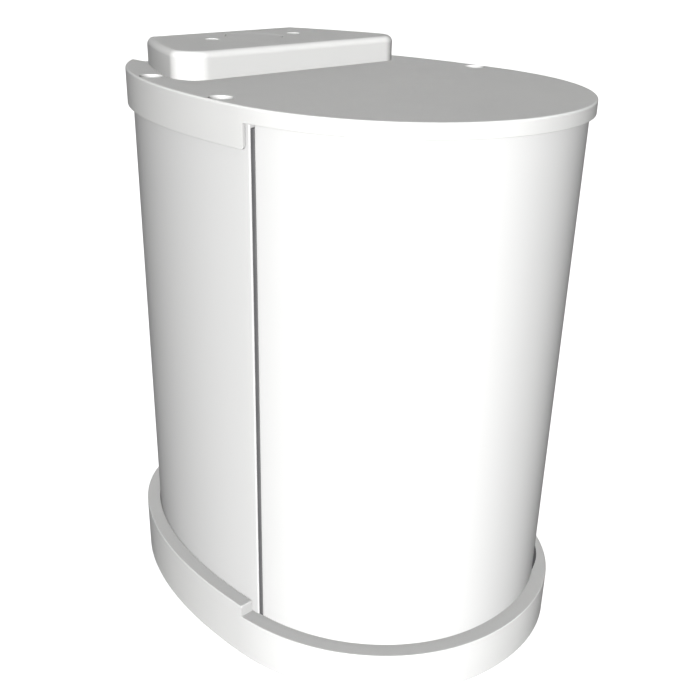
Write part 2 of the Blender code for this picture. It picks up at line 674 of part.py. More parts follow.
def build_ram():
    """Ram plate, gusseted column and bridge, with the nuts and guide shoes that the bridge carries."""
    outline = rounded_box((-0.138, -0.288), (0.138, 0.155), (0.048, 0.020, 0.020, 0.048))
    pan = outline_mesh(outline, RAM_BOTTOM, RAM_BOTTOM + 0.028)
    roof = max(pan.faces, key=lambda face: face.calc_center_median().z)
    bmesh.ops.delete(pan, geom=[roof], context="FACES")
    plate = finish_object("ram_plate", pan, STEEL)
    bevel(plate, 0.002)
    solidify(plate, 0.003)

    foot = RAM_BOTTOM + 0.003 + GAP
    low, high = (-0.060, SCREW_Y - BRIDGE_HALF), (0.060, SCREW_Y + BRIDGE_HALF)
    tube = wall_mesh(rounded_box(low, high, (0.006,) * 4, steps=2), foot, BRIDGE_BOTTOM - GAP, closed=True)
    column = solidify(finish_object("ram_column", tube, ZINC), 0.003)
    gussets = bmesh.new()
    side = [(-0.265, foot), (0.130, foot), (0.130, 0.615), (0.000, 0.720), (-0.080, 0.720), (-0.265, 0.615)]
    outline_mesh(side, 0.0585, 0.0625, plane="YZ", into=gussets)
    outline_mesh(side, -0.0625, -0.0585, plane="YZ", into=gussets)
    combine(column, finish_object("ram_gussets", gussets), "UNION")

    web, leg = BRIDGE_TOP - 0.004, BRIDGE_HALF - 0.004
    section = [(-BRIDGE_HALF, BRIDGE_BOTTOM), (-leg, BRIDGE_BOTTOM), (-leg, web), (leg, web), (leg, BRIDGE_BOTTOM)]
    section += [(BRIDGE_HALF, BRIDGE_BOTTOM), (BRIDGE_HALF, BRIDGE_TOP), (-BRIDGE_HALF, BRIDGE_TOP)]
    section = [(SCREW_Y + y, z) for y, z in section]
    bridge = finish_object("ram_bridge", outline_mesh(section, -0.230, 0.230, plane="YZ"), ZINC)
    ways = bmesh.new()
    for side_name, side in (("left", -1), ("right", 1)):
        place = (side * SCREW_X, SCREW_Y)
        rod_mesh(place, SCREW_RADIUS + 0.001, 0.7, 0.8, into=ways)
        bore = SCREW_RADIUS + GAP
        profile = [(bore, web - GAP), (0.018, web - GAP), (0.018, web - 0.006), (0.013, web - 0.006), (0.013, 0.727)]
        nut = turned_mesh(profile + [(bore, 0.727)], place, ring=True)
        finish_object(side_name + "_drive_nut", nut, BRASS)
        build_guide_shoe(side_name + "_guide_shoe", side)
    combine(bridge, finish_object("bridge_ways", ways))


def build_guide_shoe(name, side):
    """A nylon U that clips under the bridge and slides on both edges of the window."""
    near, far = BRIDGE_HALF + GAP, WINDOW_HALF - 0.0005
    foot, low, high = BRIDGE_BOTTOM - 0.006, BRIDGE_BOTTOM - GAP, BRIDGE_TOP - 0.003
    section = [(-far, foot), (far, foot), (far, high), (near, high), (near, low), (-near, low), (-near, high)]
    section = [(SCREW_Y + y, z) for y, z in section + [(-far, high)]]
    ends = sorted((side * 0.176, side * 0.192))
    finish_object(name, outline_mesh(section, *ends, plane="YZ"), DARK_PLASTIC)


def build_switch():
    near = FRAME_X + SHEET + GAP
    finish_object("limit_switch", box_mesh((near, 0.010, 0.738), (near + 0.010, 0.030, 0.758)), DARK_PLASTIC)


# ---- drawer: front panel, carrier, slides, bin and latch -----------------------------------------------------------

def build_door():
    """The curved front: outer shell with flanges at the seam, inner liner, and a cap at the top and bottom."""
    arc_points = front_arc(BODY_INSET, DOOR_BACK)
    path = [(arc_points[0][0] + DOOR_DEPTH, DOOR_BACK)] + arc_points + [(arc_points[-1][0] - DOOR_DEPTH, DOOR_BACK)]
    shell = finish_object("door_shell", wall_mesh(path, DOOR_BOTTOM, DOOR_TOP), WHITE)
    bevel(shell, 0.003)
    solidify(shell, SHEET)
    liner_inset = BODY_INSET + DOOR_DEPTH + GAP
    liner = finish_object("door_liner", wall_mesh(front_arc(liner_inset, DOOR_BACK), DOOR_BOTTOM, DOOR_TOP), WHITE_PLASTIC)
    solidify(liner, 0.002)
    cap_back = DOOR_BACK - SHEET - GAP
    rim = front_arc(INNER_INSET + GAP, cap_back) + front_arc(liner_inset - GAP, cap_back)[::-1]
    finish_object("door_top_cap", outline_mesh(rim, DOOR_TOP - 0.004, DOOR_TOP - 0.001), WHITE_PLASTIC)
    finish_object("door_bottom_cap", outline_mesh(rim, DOOR_BOTTOM + 0.001, DOOR_BOTTOM + 0.004), WHITE_PLASTIC)
    latch = box_mesh((-0.2430, DOOR_BACK - 0.0040, LATCH_Z - 0.02), (LATCH_X + 0.010, DOOR_BACK - 0.0015, LATCH_Z + 0.02))
    combine(liner, finish_object("liner_catch", latch), "UNION")


def build_carrier():
    """A tray under the bin: floor, two sides and a back, with a tongue that carries the front."""
    tray = box_mesh((-CARRIER_HALF, CARRIER_FRONT, 0.0900), (CARRIER_HALF, CARRIER_BACK, 0.165))
    missing = [max(tray.faces, key=lambda face: face.calc_center_median().z)]
    missing.append(min(tray.faces, key=lambda face: face.calc_center_median().y))
    bmesh.ops.delete(tray, geom=missing, context="FACES")
    carrier = solidify(finish_object("drawer_carrier", tray, ZINC), 0.002)
    tongue = outline_mesh(front_arc(BODY_INSET + DOOR_DEPTH + 0.002 + 2 * GAP, -0.200), 0.0870, 0.0905)
    combine(carrier, finish_object("carrier_tongue", tongue), "UNION")


def channel_section(web_side, flange_side, height, sheet):
    """A C in the XZ plane: the web at web_side, flanges that reach flange_side, and half its outer height."""
    step = copysign(sheet, flange_side - web_side)
    outer = [(web_side, -height), (flange_side, -height), (flange_side, -height + sheet)]
    inner = [(web_side + step, -height + sheet), (web_side + step, height - sheet), (flange_side, height - sheet)]
    return [(x, SLIDE_Z + z) for x, z in outer + inner + [(flange_side, height), (web_side, height)]]


def build_slides():
    """Three nested channels on each side: outer on the frame, middle between them, inner on the carrier."""
    members = [
        ("outer_slide", 0.1817, 0.1690, 0.0210, 0.0020, -0.101, 0.183),
        ("middle_slide", 0.1790, 0.1665, 0.0183, 0.0018, -0.100, 0.181),
        ("inner_slide", 0.1578, 0.1760, 0.0158, 0.0020, -0.099, 0.178),
    ]
    for side_name, side in (("left_", -1), ("right_", 1)):
        for name, web, flange, height, sheet, front, back in members:
            section = channel_section(side * web, side * flange, height, sheet)
            finish_object(side_name + name, outline_mesh(section, front, back, plane="XZ"), STEEL)


def build_bin():
    """A tapered tub with a rim, and an ear on each side for the bail."""
    def outline(inset):
        low, high = (-BIN_HALF + inset, BIN_FRONT + inset), (BIN_HALF - inset, BIN_BACK - inset)
        return rounded_box(low, high, (0.060 - inset, 0.030 - inset, 0.030 - inset, 0.060 - inset), steps=6)

    wall = 0.0025
    levels = [(0.013, BIN_BOTTOM), (0.004, BIN_TOP - wall), (0.0, BIN_TOP - wall)]
    tub = bmesh.new()
    rings = [[tub.verts.new((x, y, z)) for x, y in outline(inset)] for inset, z in levels]
    tub.faces.new(rings[0][::-1])
    for lower, upper in zip(rings, rings[1:]):
        for i in range(len(lower)):
            tub.faces.new((lower[i - 1], lower[i], upper[i], upper[i - 1]))
    bin_tub = finish_object("waste_bin", tub, BIN_GREY)
    solidify(bin_tub, wall)
    ears = bmesh.new()
    for side in (-1, 1):
        ends = sorted((side * 0.1440, side * 0.1470))
        box_mesh((ends[0], BAIL_Y - 0.010, BIN_TOP - 0.0015), (ends[1], BAIL_Y + 0.010, BAIL_Z + 0.008), into=ears)
    combine(bin_tub, finish_object("bin_ears", ears), "UNION")
    pins = rod_mesh((BAIL_Y, BAIL_Z), BAIL_RADIUS + GAP, -0.16, 0.16, axis="X", sides=16)
    combine(bin_tub, finish_object("bin_pin_holes", pins))


def build_bail():
    """A wire handle that lies round the back of the rim, with a grip."""
    arm, back = 0.1515, BAIL_Y + BAIL_REACH
    right = [(0.1425, BAIL_Y), (0.1475, BAIL_Y)] + arc((0.1475, BAIL_Y + 0.004), 0.004, -90, 0, 3)[1:]
    right += [(arm, back - 0.040)] + arc((arm - 0.020, back - 0.020), 0.020, 0, 90, 5) + [(0.060, back)]
    path = [(x, y, BAIL_Z) for x, y in right + mirrored(right)]
    wire_object("bail_handle", path, BAIL_RADIUS, STEEL, origin=(0, BAIL_Y, BAIL_Z))
    bore, grip, half = BAIL_RADIUS + GAP, 0.0072, 0.050
    profile = [(bore, half), (grip - 0.001, half), (grip, half - 0.002), (grip, 2 - half), (grip - 0.001, -half)]
    profile[3] = (grip, 0.002 - half)
    tube = turned_mesh(profile + [(bore, -half)], (back, BAIL_Z), axis="X", sides=16, ring=True)
    finish_object("bail_grip", tube, DARK_PLASTIC, (0, BAIL_Y, BAIL_Z))


def build_latch():
    """A push latch on the cabinet's left flange: a housing and a sprung plunger that meets the drawer's catch."""
    low, high = (LATCH_X - 0.014, -0.098, LATCH_Z - 0.015), (LATCH_X + 0.0175, -0.060, LATCH_Z + 0.015)
    housing = finish_object("latch_housing", box_mesh(low, high), DARK_PLASTIC)
    bore = rod_mesh((LATCH_X, LATCH_Z), LATCH_RADIUS + GAP, -0.12, -0.066, axis="Y", sides=16)
    combine(housing, finish_object("latch_bore", bore))
    face = DOOR_BACK - 0.0015 + GAP
    rod = rod_mesh((LATCH_X, LATCH_Z), LATCH_RADIUS, face, -0.072, axis="Y", sides=16)
    finish_object("latch_plunger", rod, WHITE_PLASTIC, (LATCH_X, face, LATCH_Z))


def build_all():
    build_plinth()
    build_feet()
    build_cabinet_shell()
    build_lid()
    build_lid_screws()
    build_drive_cover()
    build_button()
    build_lenses()
    build_board()
    build_back()
    build_seal()
    build_frame()
    build_drive()
    build_ram()
    build_switch()
    build_door()
    build_carrier()
    build_slides()
    build_bin()
    build_bail()
    build_latch()


build_all()
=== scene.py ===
"""Looks for the trash compactor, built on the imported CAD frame.

Metres, +Z up, the front faces -Y. Pieces are built in place, in the CAD model's own frame.
"""
from math import asin, atan2, ceil, copysign, cos, hypot, pi, radians, sin

import bmesh
import bpy
from mathutils import Matrix, Vector


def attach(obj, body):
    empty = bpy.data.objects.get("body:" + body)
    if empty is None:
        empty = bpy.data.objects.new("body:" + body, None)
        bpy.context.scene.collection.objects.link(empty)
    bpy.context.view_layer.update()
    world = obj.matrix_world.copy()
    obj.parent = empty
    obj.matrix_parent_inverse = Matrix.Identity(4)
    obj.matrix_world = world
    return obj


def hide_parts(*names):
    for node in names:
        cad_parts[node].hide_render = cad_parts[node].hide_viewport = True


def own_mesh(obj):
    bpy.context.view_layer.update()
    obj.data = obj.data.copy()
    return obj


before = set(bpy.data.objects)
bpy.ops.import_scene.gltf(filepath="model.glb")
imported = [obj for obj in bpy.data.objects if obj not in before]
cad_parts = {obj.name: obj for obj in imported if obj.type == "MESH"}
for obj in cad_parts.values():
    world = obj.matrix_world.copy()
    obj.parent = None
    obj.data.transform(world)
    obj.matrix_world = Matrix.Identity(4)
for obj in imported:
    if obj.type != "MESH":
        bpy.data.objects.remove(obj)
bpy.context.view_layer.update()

# The oval that the lid, the body and the plinth share
HALF_WIDTH, FRONT_DEPTH, REAR_DEPTH = 0.275, 0.290, 0.452
FRONT_POWER, REAR_POWER = 2.08, 2.15
WIDEST_Y = (FRONT_DEPTH - REAR_DEPTH) / 2

# Insets from the lid's oval, heights and the lines across the plan
PLINTH_INSET, LIP_INSET, BODY_INSET, SHEET = -0.0145, 0.0078, 0.0084, 0.0025
PLINTH_BOTTOM, LEDGE_TOP, LIP_TOP = 0.003, 0.075, 0.094
FLOOR, SHELL_TOP = 0.0753, 0.804
DOOR_BOTTOM, DOOR_TOP, DOOR_DEPTH = 0.077, 0.8045, 0.022
TALL_SKIRT, SHORT_SKIRT, LID_TOP, LID_PLATE = 0.774, 0.806, 0.826, 0.004
COVER_TOP = 0.863
CABINET_FRONT, DOOR_BACK, STEP_Y, SKIRT_END_Y = -0.1038, -0.11125, -0.091, -0.102
NOTCH_HALF, NOTCH_FLOOR = 0.135, 0.289
RECESSES = [(0.2545, -0.038), (0.2176, 0.159)]
RECESS_RADIUS = 0.016
BUTTON_Y, BUTTON_RADIUS, LENS_X, LENS_RADIUS = 0.193, 0.0430, 0.0815, 0.0098
SCREW_X, SCREW_Y, SCREW_RADIUS = 0.210, -0.040, 0.008
SCREW_FOOT, SCREW_HEAD, BEARING_TOP = 0.428, 0.812, 0.447
MOTOR_Y, PLATE_BOTTOM, BRIDGE_BOTTOM = 0.232, 0.772, 0.735
BAIL_Y, BAIL_Z, BAIL_RADIUS, SLIDE_Z = 0.053, 0.468, 0.003, 0.1375
LATCH_X, LATCH_Z = -0.218, 0.330
LOOM_WAY = (-0.100, 0.235)
HUB_LOW, HUB_HIGH, BELT_LOW, BELT_HIGH = 0.7888, 0.8032, 0.790, 0.802
COVER_WALL, WHEEL_RADIUS, MOTOR_WHEEL_RADIUS, WHEEL_FLANGE = 0.003, 0.030, 0.012, 0.0025
THROUGH_LID = (0.9, 0.7)
GAP = 0.0003

SIDES = (("left", -1), ("right", 1))
CORNERS = ("front_left", "front_right", "rear_left", "rear_right")
RECESS_PLACES = [(sx * x, y) for x, y in RECESSES for sx in (-1, 1)]
FOOT_PLACES = [(sx * x, y) for x, y in ((0.17, -0.23), (0.15, 0.25)) for sx in (-1, 1)]


# ---- plan curves ----

def oval_point(angle, inset=0.0):
    """A point of the oval at a parameter angle, moved inward along its normal."""
    c, s = cos(angle), sin(angle)
    power, depth = (FRONT_POWER, FRONT_DEPTH) if s < 0 else (REAR_POWER, REAR_DEPTH)
    x = HALF_WIDTH * copysign(abs(c) ** (2 / power), c)
    y = depth * copysign(abs(s) ** (2 / power), s)
    nx = copysign(abs(x / HALF_WIDTH) ** (power - 1) / HALF_WIDTH, x)
    ny = copysign(abs(y / depth) ** (power - 1) / depth, y)
    length = hypot(nx, ny)
    return x - inset * nx / length, y - inset * ny / length + WIDEST_Y


def oval_angle(inset, index, value, low, high):
    """The angle in degrees, between low and high, where coordinate index (0 = x, 1 = y) has a value."""
    rising = oval_point(radians(high), inset)[index] > oval_point(radians(low), inset)[index]
    for _ in range(50):
        middle = (low + high) / 2
        if (oval_point(radians(middle), inset)[index] < value) == rising:
            low = middle
        else:
            high = middle
    return low


def oval_arc(inset, start, stop, pitch=1.5):
    steps = max(1, ceil(abs(stop - start) / pitch))
    return [oval_point(radians(start + (stop - start) * i / steps), inset) for i in range(steps + 1)]


def mirrored(points):
    return [(-x, y) for x, y in reversed(points)]


def front_arc(inset, back_y):
    """The oval's front, from its left end on the line back_y round to its right end."""
    right = oval_arc(inset, -90, oval_angle(inset, 1, back_y, -90, 89))
    return mirrored(right)[:-1] + right


def rear_path(inset, front_y):
    """The cabinet's plan from its right front end, round the back with its notch, to its left front end."""
    start = oval_angle(inset, 1, front_y, -90, 89)
    stop = oval_angle(inset, 0, NOTCH_HALF + inset, 20, 90)
    right = oval_arc(inset, start, stop) + [(NOTCH_HALF + inset, NOTCH_FLOOR - inset)]
    return right + mirrored(right)


def arc(centre, radius, start, stop, steps):
    angles = [radians(start + (stop - start) * i / steps) for i in range(steps + 1)]
    return [(centre[0] + radius * cos(a), centre[1] + radius * sin(a)) for a in angles]


def rounded_box(low, high, radii, steps=8):
    """A rectangle with one corner radius, or its own at front right, back right, back left and front left."""
    radii = radii if isinstance(radii, tuple) else (radii,) * 4
    corners = [(high[0], low[1], 1, -1), (high[0], high[1], 1, 1), (low[0], high[1], -1, 1),
               (low[0], low[1], -1, -1)]
    points = []
    for index, ((x, y, sx, sy), radius) in enumerate(zip(corners, radii)):
        points += arc((x - sx * radius, y - sy * radius), radius, 90 * index - 90, 90 * index, steps)
    return points


def filleted(points, radius, closed=False, least=25, steps=6, inset=0.0):
    """The same line with every corner sharper than least degrees turned into an arc.

    Where the line is already an inset of another, outward corners lose that much radius and inward ones
    gain it.
    """
    result = []
    count = len(points)
    for i, point in enumerate(points):
        inside = closed or 0 < i < count - 1
        here = Vector(point)
        before, after = Vector(points[i - 1]), Vector(points[(i + 1) % count])
        a, b = (here - before), (after - here)
        if not inside or a.length < 1e-9 or b.length < 1e-9 or abs(a.angle_signed(b)) < radians(least):
            result.append(tuple(here))
            continue
        turn = a.angle_signed(b)
        bend = max(radius + copysign(inset, turn), 1e-5)
        cut = min(bend * abs(sin(turn / 2) / cos(turn / 2)), a.length * 0.49, b.length * 0.49)
        start, end = here - a.normalized() * cut, here + b.normalized() * cut
        for k in range(steps + 1):
            t = k / steps
            result.append(tuple(start * (1 - t) ** 2 + here * 2 * t * (1 - t) + end * t ** 2))
    return result


def normals_of(points, closed):
    """Mitred normals on the line's right, long enough to offset both neighbours by one unit."""
    found = []
    count = len(points)
    for i in range(count):
        sides = []
        for j, k in ((i - 1, i), (i, i + 1)):
            if not closed and (j < 0 or k >= count):
                continue
            step = Vector(points[k % count]) - Vector(points[j % count])
            if step.length > 1e-9:
                sides.append(Vector((step.y, -step.x)).normalized())
        total = sum(sides, Vector((0, 0))).normalized()
        found.append(total / max(0.2, total.dot(sides[0])))
    return found


def offset_line(points, distance, closed=True):
    """The line moved to its right by distance."""
    return [(x + n.x * distance, y + n.y * distance) for (x, y), n in zip(points, normals_of(points, closed))]


# ---- building meshes ----

def new_object(name, shape, smooth=35):
    mesh = bpy.data.meshes.new(name)
    shape.to_mesh(mesh)
    shape.free()
    if smooth:
        mesh.shade_smooth()
        mesh.set_sharp_from_angle(angle=radians(smooth))
    thing = bpy.data.objects.new(name, mesh)
    bpy.context.scene.collection.objects.link(thing)
    return thing


def skin(sections, ring=False, close=True, cap_start=False, cap_end=False, fill_ends=False):
    """Faces between neighbouring rows of points.

    ring joins the last row to the first and close joins each row's ends. The caps fill the first and last
    row; fill_ends fills the rings that the rows' first and last points make.
    """
    shape = bmesh.new()
    rows = [[shape.verts.new(point) for point in section] for section in sections]

    def apart(corners):
        return [v for k, v in enumerate(corners) if (v.co - corners[k - 1].co).length > 1e-7]

    for a, b in list(zip(rows, rows[1:])) + ([(rows[-1], rows[0])] if ring else []):
        for i in range(0 if close else 1, len(a)):
            kept = apart([a[i - 1], a[i], b[i], b[i - 1]])
            if len(kept) > 2:
                shape.faces.new(kept)
    for row, wanted in ((rows[0], cap_start), (rows[-1], cap_end)):
        if wanted:
            shape.faces.new(row)
    for end in (0, -1) if fill_ends else ():
        shape.faces.new(apart([row[end] for row in rows]))
    return shape


def closed_up(shape):
    """Weld points that coincide and point every face outwards."""
    bmesh.ops.remove_doubles(shape, verts=shape.verts, dist=2e-6)
    bmesh.ops.dissolve_degenerate(shape, edges=shape.edges, dist=1e-6)
    bmesh.ops.recalc_face_normals(shape, faces=shape.faces)
    return shape


def turned(profile, centre, axis="Z", steps=64, ring=False, into=None):
    """A turned shape from (radius, height) points; ring closes the profile on itself."""
    def spot(radius, height, c, s):
        if axis == "Z":
            return centre[0] + radius * c, centre[1] + radius * s, height
        if axis == "X":
            return height, centre[0] + radius * c, centre[1] + radius * s
        return centre[0] + radius * s, height, centre[1] + radius * c

    angles = [2 * pi * k / steps for k in range(steps)]
    sections = [[spot(radius, height, cos(a), sin(a)) for radius, height in profile] for a in angles]
    return merged(closed_up(skin(sections, ring=True, close=ring)), into)


def rod(radius, start, end, centre, axis="Z", steps=64, into=None):
    """A plain cylinder, mostly used as a drill."""
    return turned([(0, start), (radius, start), (radius, end), (0, end)], centre, axis, steps, into=into)


def rods(places, radius, start, end, axis="Z", steps=48):
    """The same cylinder at several places, as one tool."""
    shape = bmesh.new()
    for spot in places:
        rod(radius, start, end, spot, axis, steps, shape)
    return shape


def prisms(outlines, *extent, **looks):
    """Prisms over several outlines, as one tool."""
    shape = bmesh.new()
    for outline in outlines:
        prism(outline, *extent, into=shape, **looks)
    return shape


def flared(radius, lip, top):
    """The rounded mouth of a drilled hole, as (radius, height) points."""
    turns = [pi / 2 * k / 4 for k in range(4, -1, -1)]
    return [(radius + lip * (1 - cos(a)), top - lip * (1 - sin(a)) + 0.00002) for a in turns]


def merged(part, into):
    """The part itself, or the mesh that it has been added to."""
    if into is None:
        return part
    mesh = bpy.data.meshes.new("merged")
    part.to_mesh(mesh)
    part.free()
    into.from_mesh(mesh)
    bpy.data.meshes.remove(mesh)
    return into


def block(low, high, radius=0.0, segments=3):
    """A box with rounded edges."""
    part = bmesh.new()
    middle = (Vector(low) + Vector(high)) / 2
    size = Vector(high) - Vector(low)
    bmesh.ops.create_cube(part, size=1, matrix=Matrix.Translation(middle) @ Matrix.Diagonal((*size, 1)))
    if radius:
        bmesh.ops.bevel(part, geom=part.edges, offset=radius, segments=segments, profile=0.5, affect="EDGES")
    return part


def prism(points, low, high, plane="XY", radius=0.0, segments=2, least=30, into=None):
    """An outline with a thickness; plane YZ runs along X, plane XZ along Y. Sharp edges take a radius."""
    place = {"XY": lambda u, v, w: (u, v, w),
             "YZ": lambda u, v, w: (w, u, v),
             "XZ": lambda u, v, w: (u, w, v)}[plane]
    part = skin([[place(u, v, low) for u, v in points], [place(u, v, high) for u, v in points]],
                cap_start=True, cap_end=True)
    bmesh.ops.recalc_face_normals(part, faces=part.faces)
    if radius:
        sharp = [e for e in part.edges if e.calc_face_angle(0) > radians(least)]
        bmesh.ops.bevel(part, geom=sharp, offset=radius, segments=segments, profile=0.5, affect="EDGES")
    return merged(part, into)


def wall(path, low, high, thickness, closed=False, edge=0.0):
    """An upright sheet along a path, its thickness on the left of the path's direction, with rounded rims."""
    row = [(0, low), (0, high), (1, high), (1, low)]
    if edge:
        rim, soft = min(edge / thickness, 0.5), edge * 0.3
        row = [(0, low + edge), (0, high - edge), (rim * 0.3, high - soft), (rim, high), (1 - rim, high),
               (1 - rim * 0.3, high - soft), (1, high - edge), (1, low + edge), (1 - rim * 0.3, low + soft),
               (1 - rim, low), (rim, low), (rim * 0.3, low + soft)]
    ends = zip(path, offset_line(path, -thickness, closed))
    sections = [[(x + (u - x) * t, y + (v - y) * t, z) for t, z in row] for (x, y), (u, v) in ends]
    return closed_up(skin(sections, ring=closed, cap_start=not closed, cap_end=not closed))


def combine(target, tool, operation="DIFFERENCE"):
    """Cut or join a mesh object with a bmesh, and apply it."""
    cutter = new_object("tool", tool, smooth=0)
    boolean = target.modifiers.new("Boolean", "BOOLEAN")
    boolean.operation = operation
    boolean.object = cutter
    boolean.solver = "EXACT"
    apply_modifiers(target)
    bpy.data.objects.remove(cutter, do_unlink=True)
    return target


def apply_modifiers(target):
    graph = bpy.context.evaluated_depsgraph_get()
    graph.update()
    mesh = bpy.data.meshes.new_from_object(target.evaluated_get(graph))
    old = target.data
    target.modifiers.clear()
    target.data = mesh
    mesh.name = target.name
    bpy.data.meshes.remove(old)
    return target


def crisp(target, smooth):
    """Smooth shading that keeps sharp edges, with flat faces held flat by weighted normals."""
    shape = bmesh.new()
    shape.from_mesh(target.data)
    bmesh.ops.remove_doubles(shape, verts=shape.verts, dist=2e-6)
    shape.to_mesh(target.data)
    shape.free()
    target.data.shade_smooth()
    target.data.set_sharp_from_angle(angle=radians(smooth))
    weigh = target.modifiers.new("Weighted normals", "WEIGHTED_NORMAL")
    weigh.keep_sharp = True
    weigh.weight = 100
    apply_modifiers(target)


def tube(name, points, radius, sides=12):
    """A round bar or cable along points, made a mesh."""
    curve = bpy.data.curves.new(name, "CURVE")
    curve.dimensions = "3D"
    curve.bevel_depth = radius
    curve.bevel_resolution = max(1, sides // 4)
    curve.use_fill_caps = True
    spline = curve.splines.new("POLY")
    spline.points.add(len(points) - 1)
    for point, place in zip(spline.points, points):
        point.co = (*place, 1)
    guide = bpy.data.objects.new(name, curve)
    bpy.context.scene.collection.objects.link(guide)
    graph = bpy.context.evaluated_depsgraph_get()
    mesh = bpy.data.meshes.new_from_object(guide.evaluated_get(graph))
    bpy.data.objects.remove(guide, do_unlink=True)
    shape = bmesh.new()
    shape.from_mesh(mesh)
    bpy.data.meshes.remove(mesh)
    closed_up(shape)
    return new_object(name, shape, smooth=50)


# ---- finishes ----

def node_adder(tree):
    """A function that adds a shader node to the tree and sets its inputs; From_Min stands for From Min."""
    def node(kind, **values):
        made = tree.nodes.new("ShaderNode" + kind)
        for key, value in values.items():
            made.inputs[key.replace("_", " ")].default_value = value
        return made
    return node, tree.links.new


def finish_of(name, pale, dark, patch, rough, grain, depth, metallic=0.0, stretch=(1, 1, 1), texture="noise",
              coat=0.0, extra=None):
    """A procedural finish: two drifting shades, mottled roughness and a fine grain."""
    made = bpy.data.materials.new(name)
    made.use_nodes = True
    node, link = node_adder(made.node_tree)
    shader = made.node_tree.nodes["Principled BSDF"]
    fixed = {"Metallic": metallic, "Coat Weight": coat, "Coat Roughness": 0.12, **(extra or {})}
    for socket, value in fixed.items():
        shader.inputs[socket].default_value = value
    place = node("TexCoord").outputs["Object"]
    mapping = node("Mapping", Scale=stretch)
    link(place, mapping.inputs["Vector"])
    drift = node("TexNoise", Scale=patch, Detail=4.0, Roughness=0.6)
    link(place, drift.inputs["Vector"])
    ramp = node("ValToRGB")
    for element, position, shade in zip(ramp.color_ramp.elements, (0.3, 0.7), (dark, pale)):
        element.position, element.color = position, (*shade, 1)
    link(drift.outputs["Fac"], ramp.inputs["Fac"])
    link(ramp.outputs["Color"], shader.inputs["Base Color"])
    if texture == "voronoi":
        fine, height = node("TexVoronoi", Scale=grain), "Distance"
    else:
        fine, height = node("TexNoise", Scale=grain, Detail=3.0, Roughness=0.55), "Fac"
    link(mapping.outputs["Vector"], fine.inputs["Vector"])
    spread = node("MapRange", From_Min=0.25, From_Max=0.75, To_Min=rough[0], To_Max=rough[1])
    mottle = node("TexNoise", Scale=patch * 6, Detail=3.0)
    link(mapping.outputs["Vector"], mottle.inputs["Vector"])
    link(mottle.outputs["Fac"], spread.inputs["Value"])
    link(spread.outputs["Result"], shader.inputs["Roughness"])
    bump = node("Bump", Strength=1.0, Distance=depth)
    link(fine.outputs[height], bump.inputs["Height"])
    link(bump.outputs["Normal"], shader.inputs["Normal"])
    return made


ALONG_Y, ROUND = {"stretch": (1, 0.02, 1)}, {"stretch": (0.02, 0.02, 1)}
DULL = {"metallic": 0.6}
# For each finish: the record's slot, then finish_of's name, shades, patch scale, roughness, grain and depth
FINISHES = {
    "enamel": ("white_enamel", "white enamel", (0.80, 0.80, 0.795), (0.79, 0.79, 0.786), 2, (0.36, 0.40), 420,
               2e-5, {"extra": {"Specular IOR Level": 0.35}}),
    "shell_white": ("white_plastic", "white moulded plastic", (0.82, 0.82, 0.81), (0.80, 0.80, 0.795), 4,
                    (0.40, 0.50), 1500, 3e-5, {}),
    "gloss_white": ("white_plastic", "gloss white plastic", (0.84, 0.84, 0.83), (0.82, 0.82, 0.815), 6,
                    (0.20, 0.28), 900, 1e-5, {}),
    # The lens finish glows a little: a painted glow that keeps the lenses bright white, with no lamp behind
    # them.
    "lens": ("lens_plastic", "milky lens", (0.95, 0.95, 0.93), (0.90, 0.90, 0.88), 60, (0.12, 0.20), 500,
             1e-5, {"coat": 0.5, "extra": {"Emission Color": (1, 1, 1, 1), "Emission Strength": 0.55}}),
    "zinc": ("zinc_sheet", "zinc plated sheet", (0.62, 0.64, 0.65), (0.48, 0.50, 0.52), 45, (0.32, 0.52), 90,
             2e-5, {**DULL, "texture": "voronoi"}),
    "brushed_x": ("zinc_sheet", "brushed steel along x", (0.62, 0.62, 0.63), (0.50, 0.51, 0.52), 12,
                  (0.24, 0.40), 1600, 2e-5, {**DULL, "stretch": (0.02, 1, 1)}),
    "brushed_y": ("plain_steel", "rolled steel along y", (0.60, 0.61, 0.62), (0.48, 0.49, 0.50), 12,
                  (0.24, 0.40), 1600, 2e-5, {**DULL, **ALONG_Y}),
    "turned": ("plain_steel", "turned steel", (0.66, 0.66, 0.67), (0.52, 0.53, 0.54), 20, (0.20, 0.34), 2600,
               1e-5, {**DULL, **ROUND}),
    "ram_steel": ("plain_steel", "scuffed ram steel", (0.58, 0.58, 0.58), (0.40, 0.40, 0.41), 18,
                  (0.28, 0.50), 700, 4e-5, {**DULL, **ALONG_Y}),
    "brass": ("bronze_nut", "machined bronze", (0.78, 0.60, 0.30), (0.62, 0.45, 0.20), 30, (0.22, 0.36), 2400,
              1e-5, {"metallic": 1.0, **ROUND}),
    "seal": ("black_rubber", "grey seal rubber", (0.25, 0.25, 0.255), (0.22, 0.22, 0.225), 30, (0.6, 0.8),
             1200, 5e-5, {"extra": {"Specular IOR Level": 0.3}}),
    "rubber": ("black_rubber", "black rubber", (0.045, 0.045, 0.047), (0.028, 0.028, 0.030), 30, (0.65, 0.85),
               1200, 6e-5, {}),
    "dark": ("dark_plastic", "dark plastic", (0.065, 0.066, 0.07), (0.045, 0.046, 0.05), 20, (0.42, 0.58),
             1400, 4e-5, {}),
    "cable": ("dark_plastic", "cable sleeve", (0.050, 0.050, 0.052), (0.035, 0.035, 0.038), 40, (0.38, 0.5),
              700, 12e-5, {"texture": "voronoi"}),
    "bin": ("bin_plastic", "grey bin plastic", (0.33, 0.35, 0.37), (0.27, 0.29, 0.31), 9, (0.38, 0.55), 1100,
            5e-5, {}),
    "board": ("board_laminate", "green board", (0.025, 0.20, 0.085), (0.015, 0.14, 0.06), 160, (0.25, 0.4),
              500, 3e-5, {"coat": 0.4}),
    "motor": ("plain_steel", "grey motor paint", (0.30, 0.31, 0.33), (0.24, 0.25, 0.27), 20, (0.35, 0.5), 600,
              6e-5, {}),
}
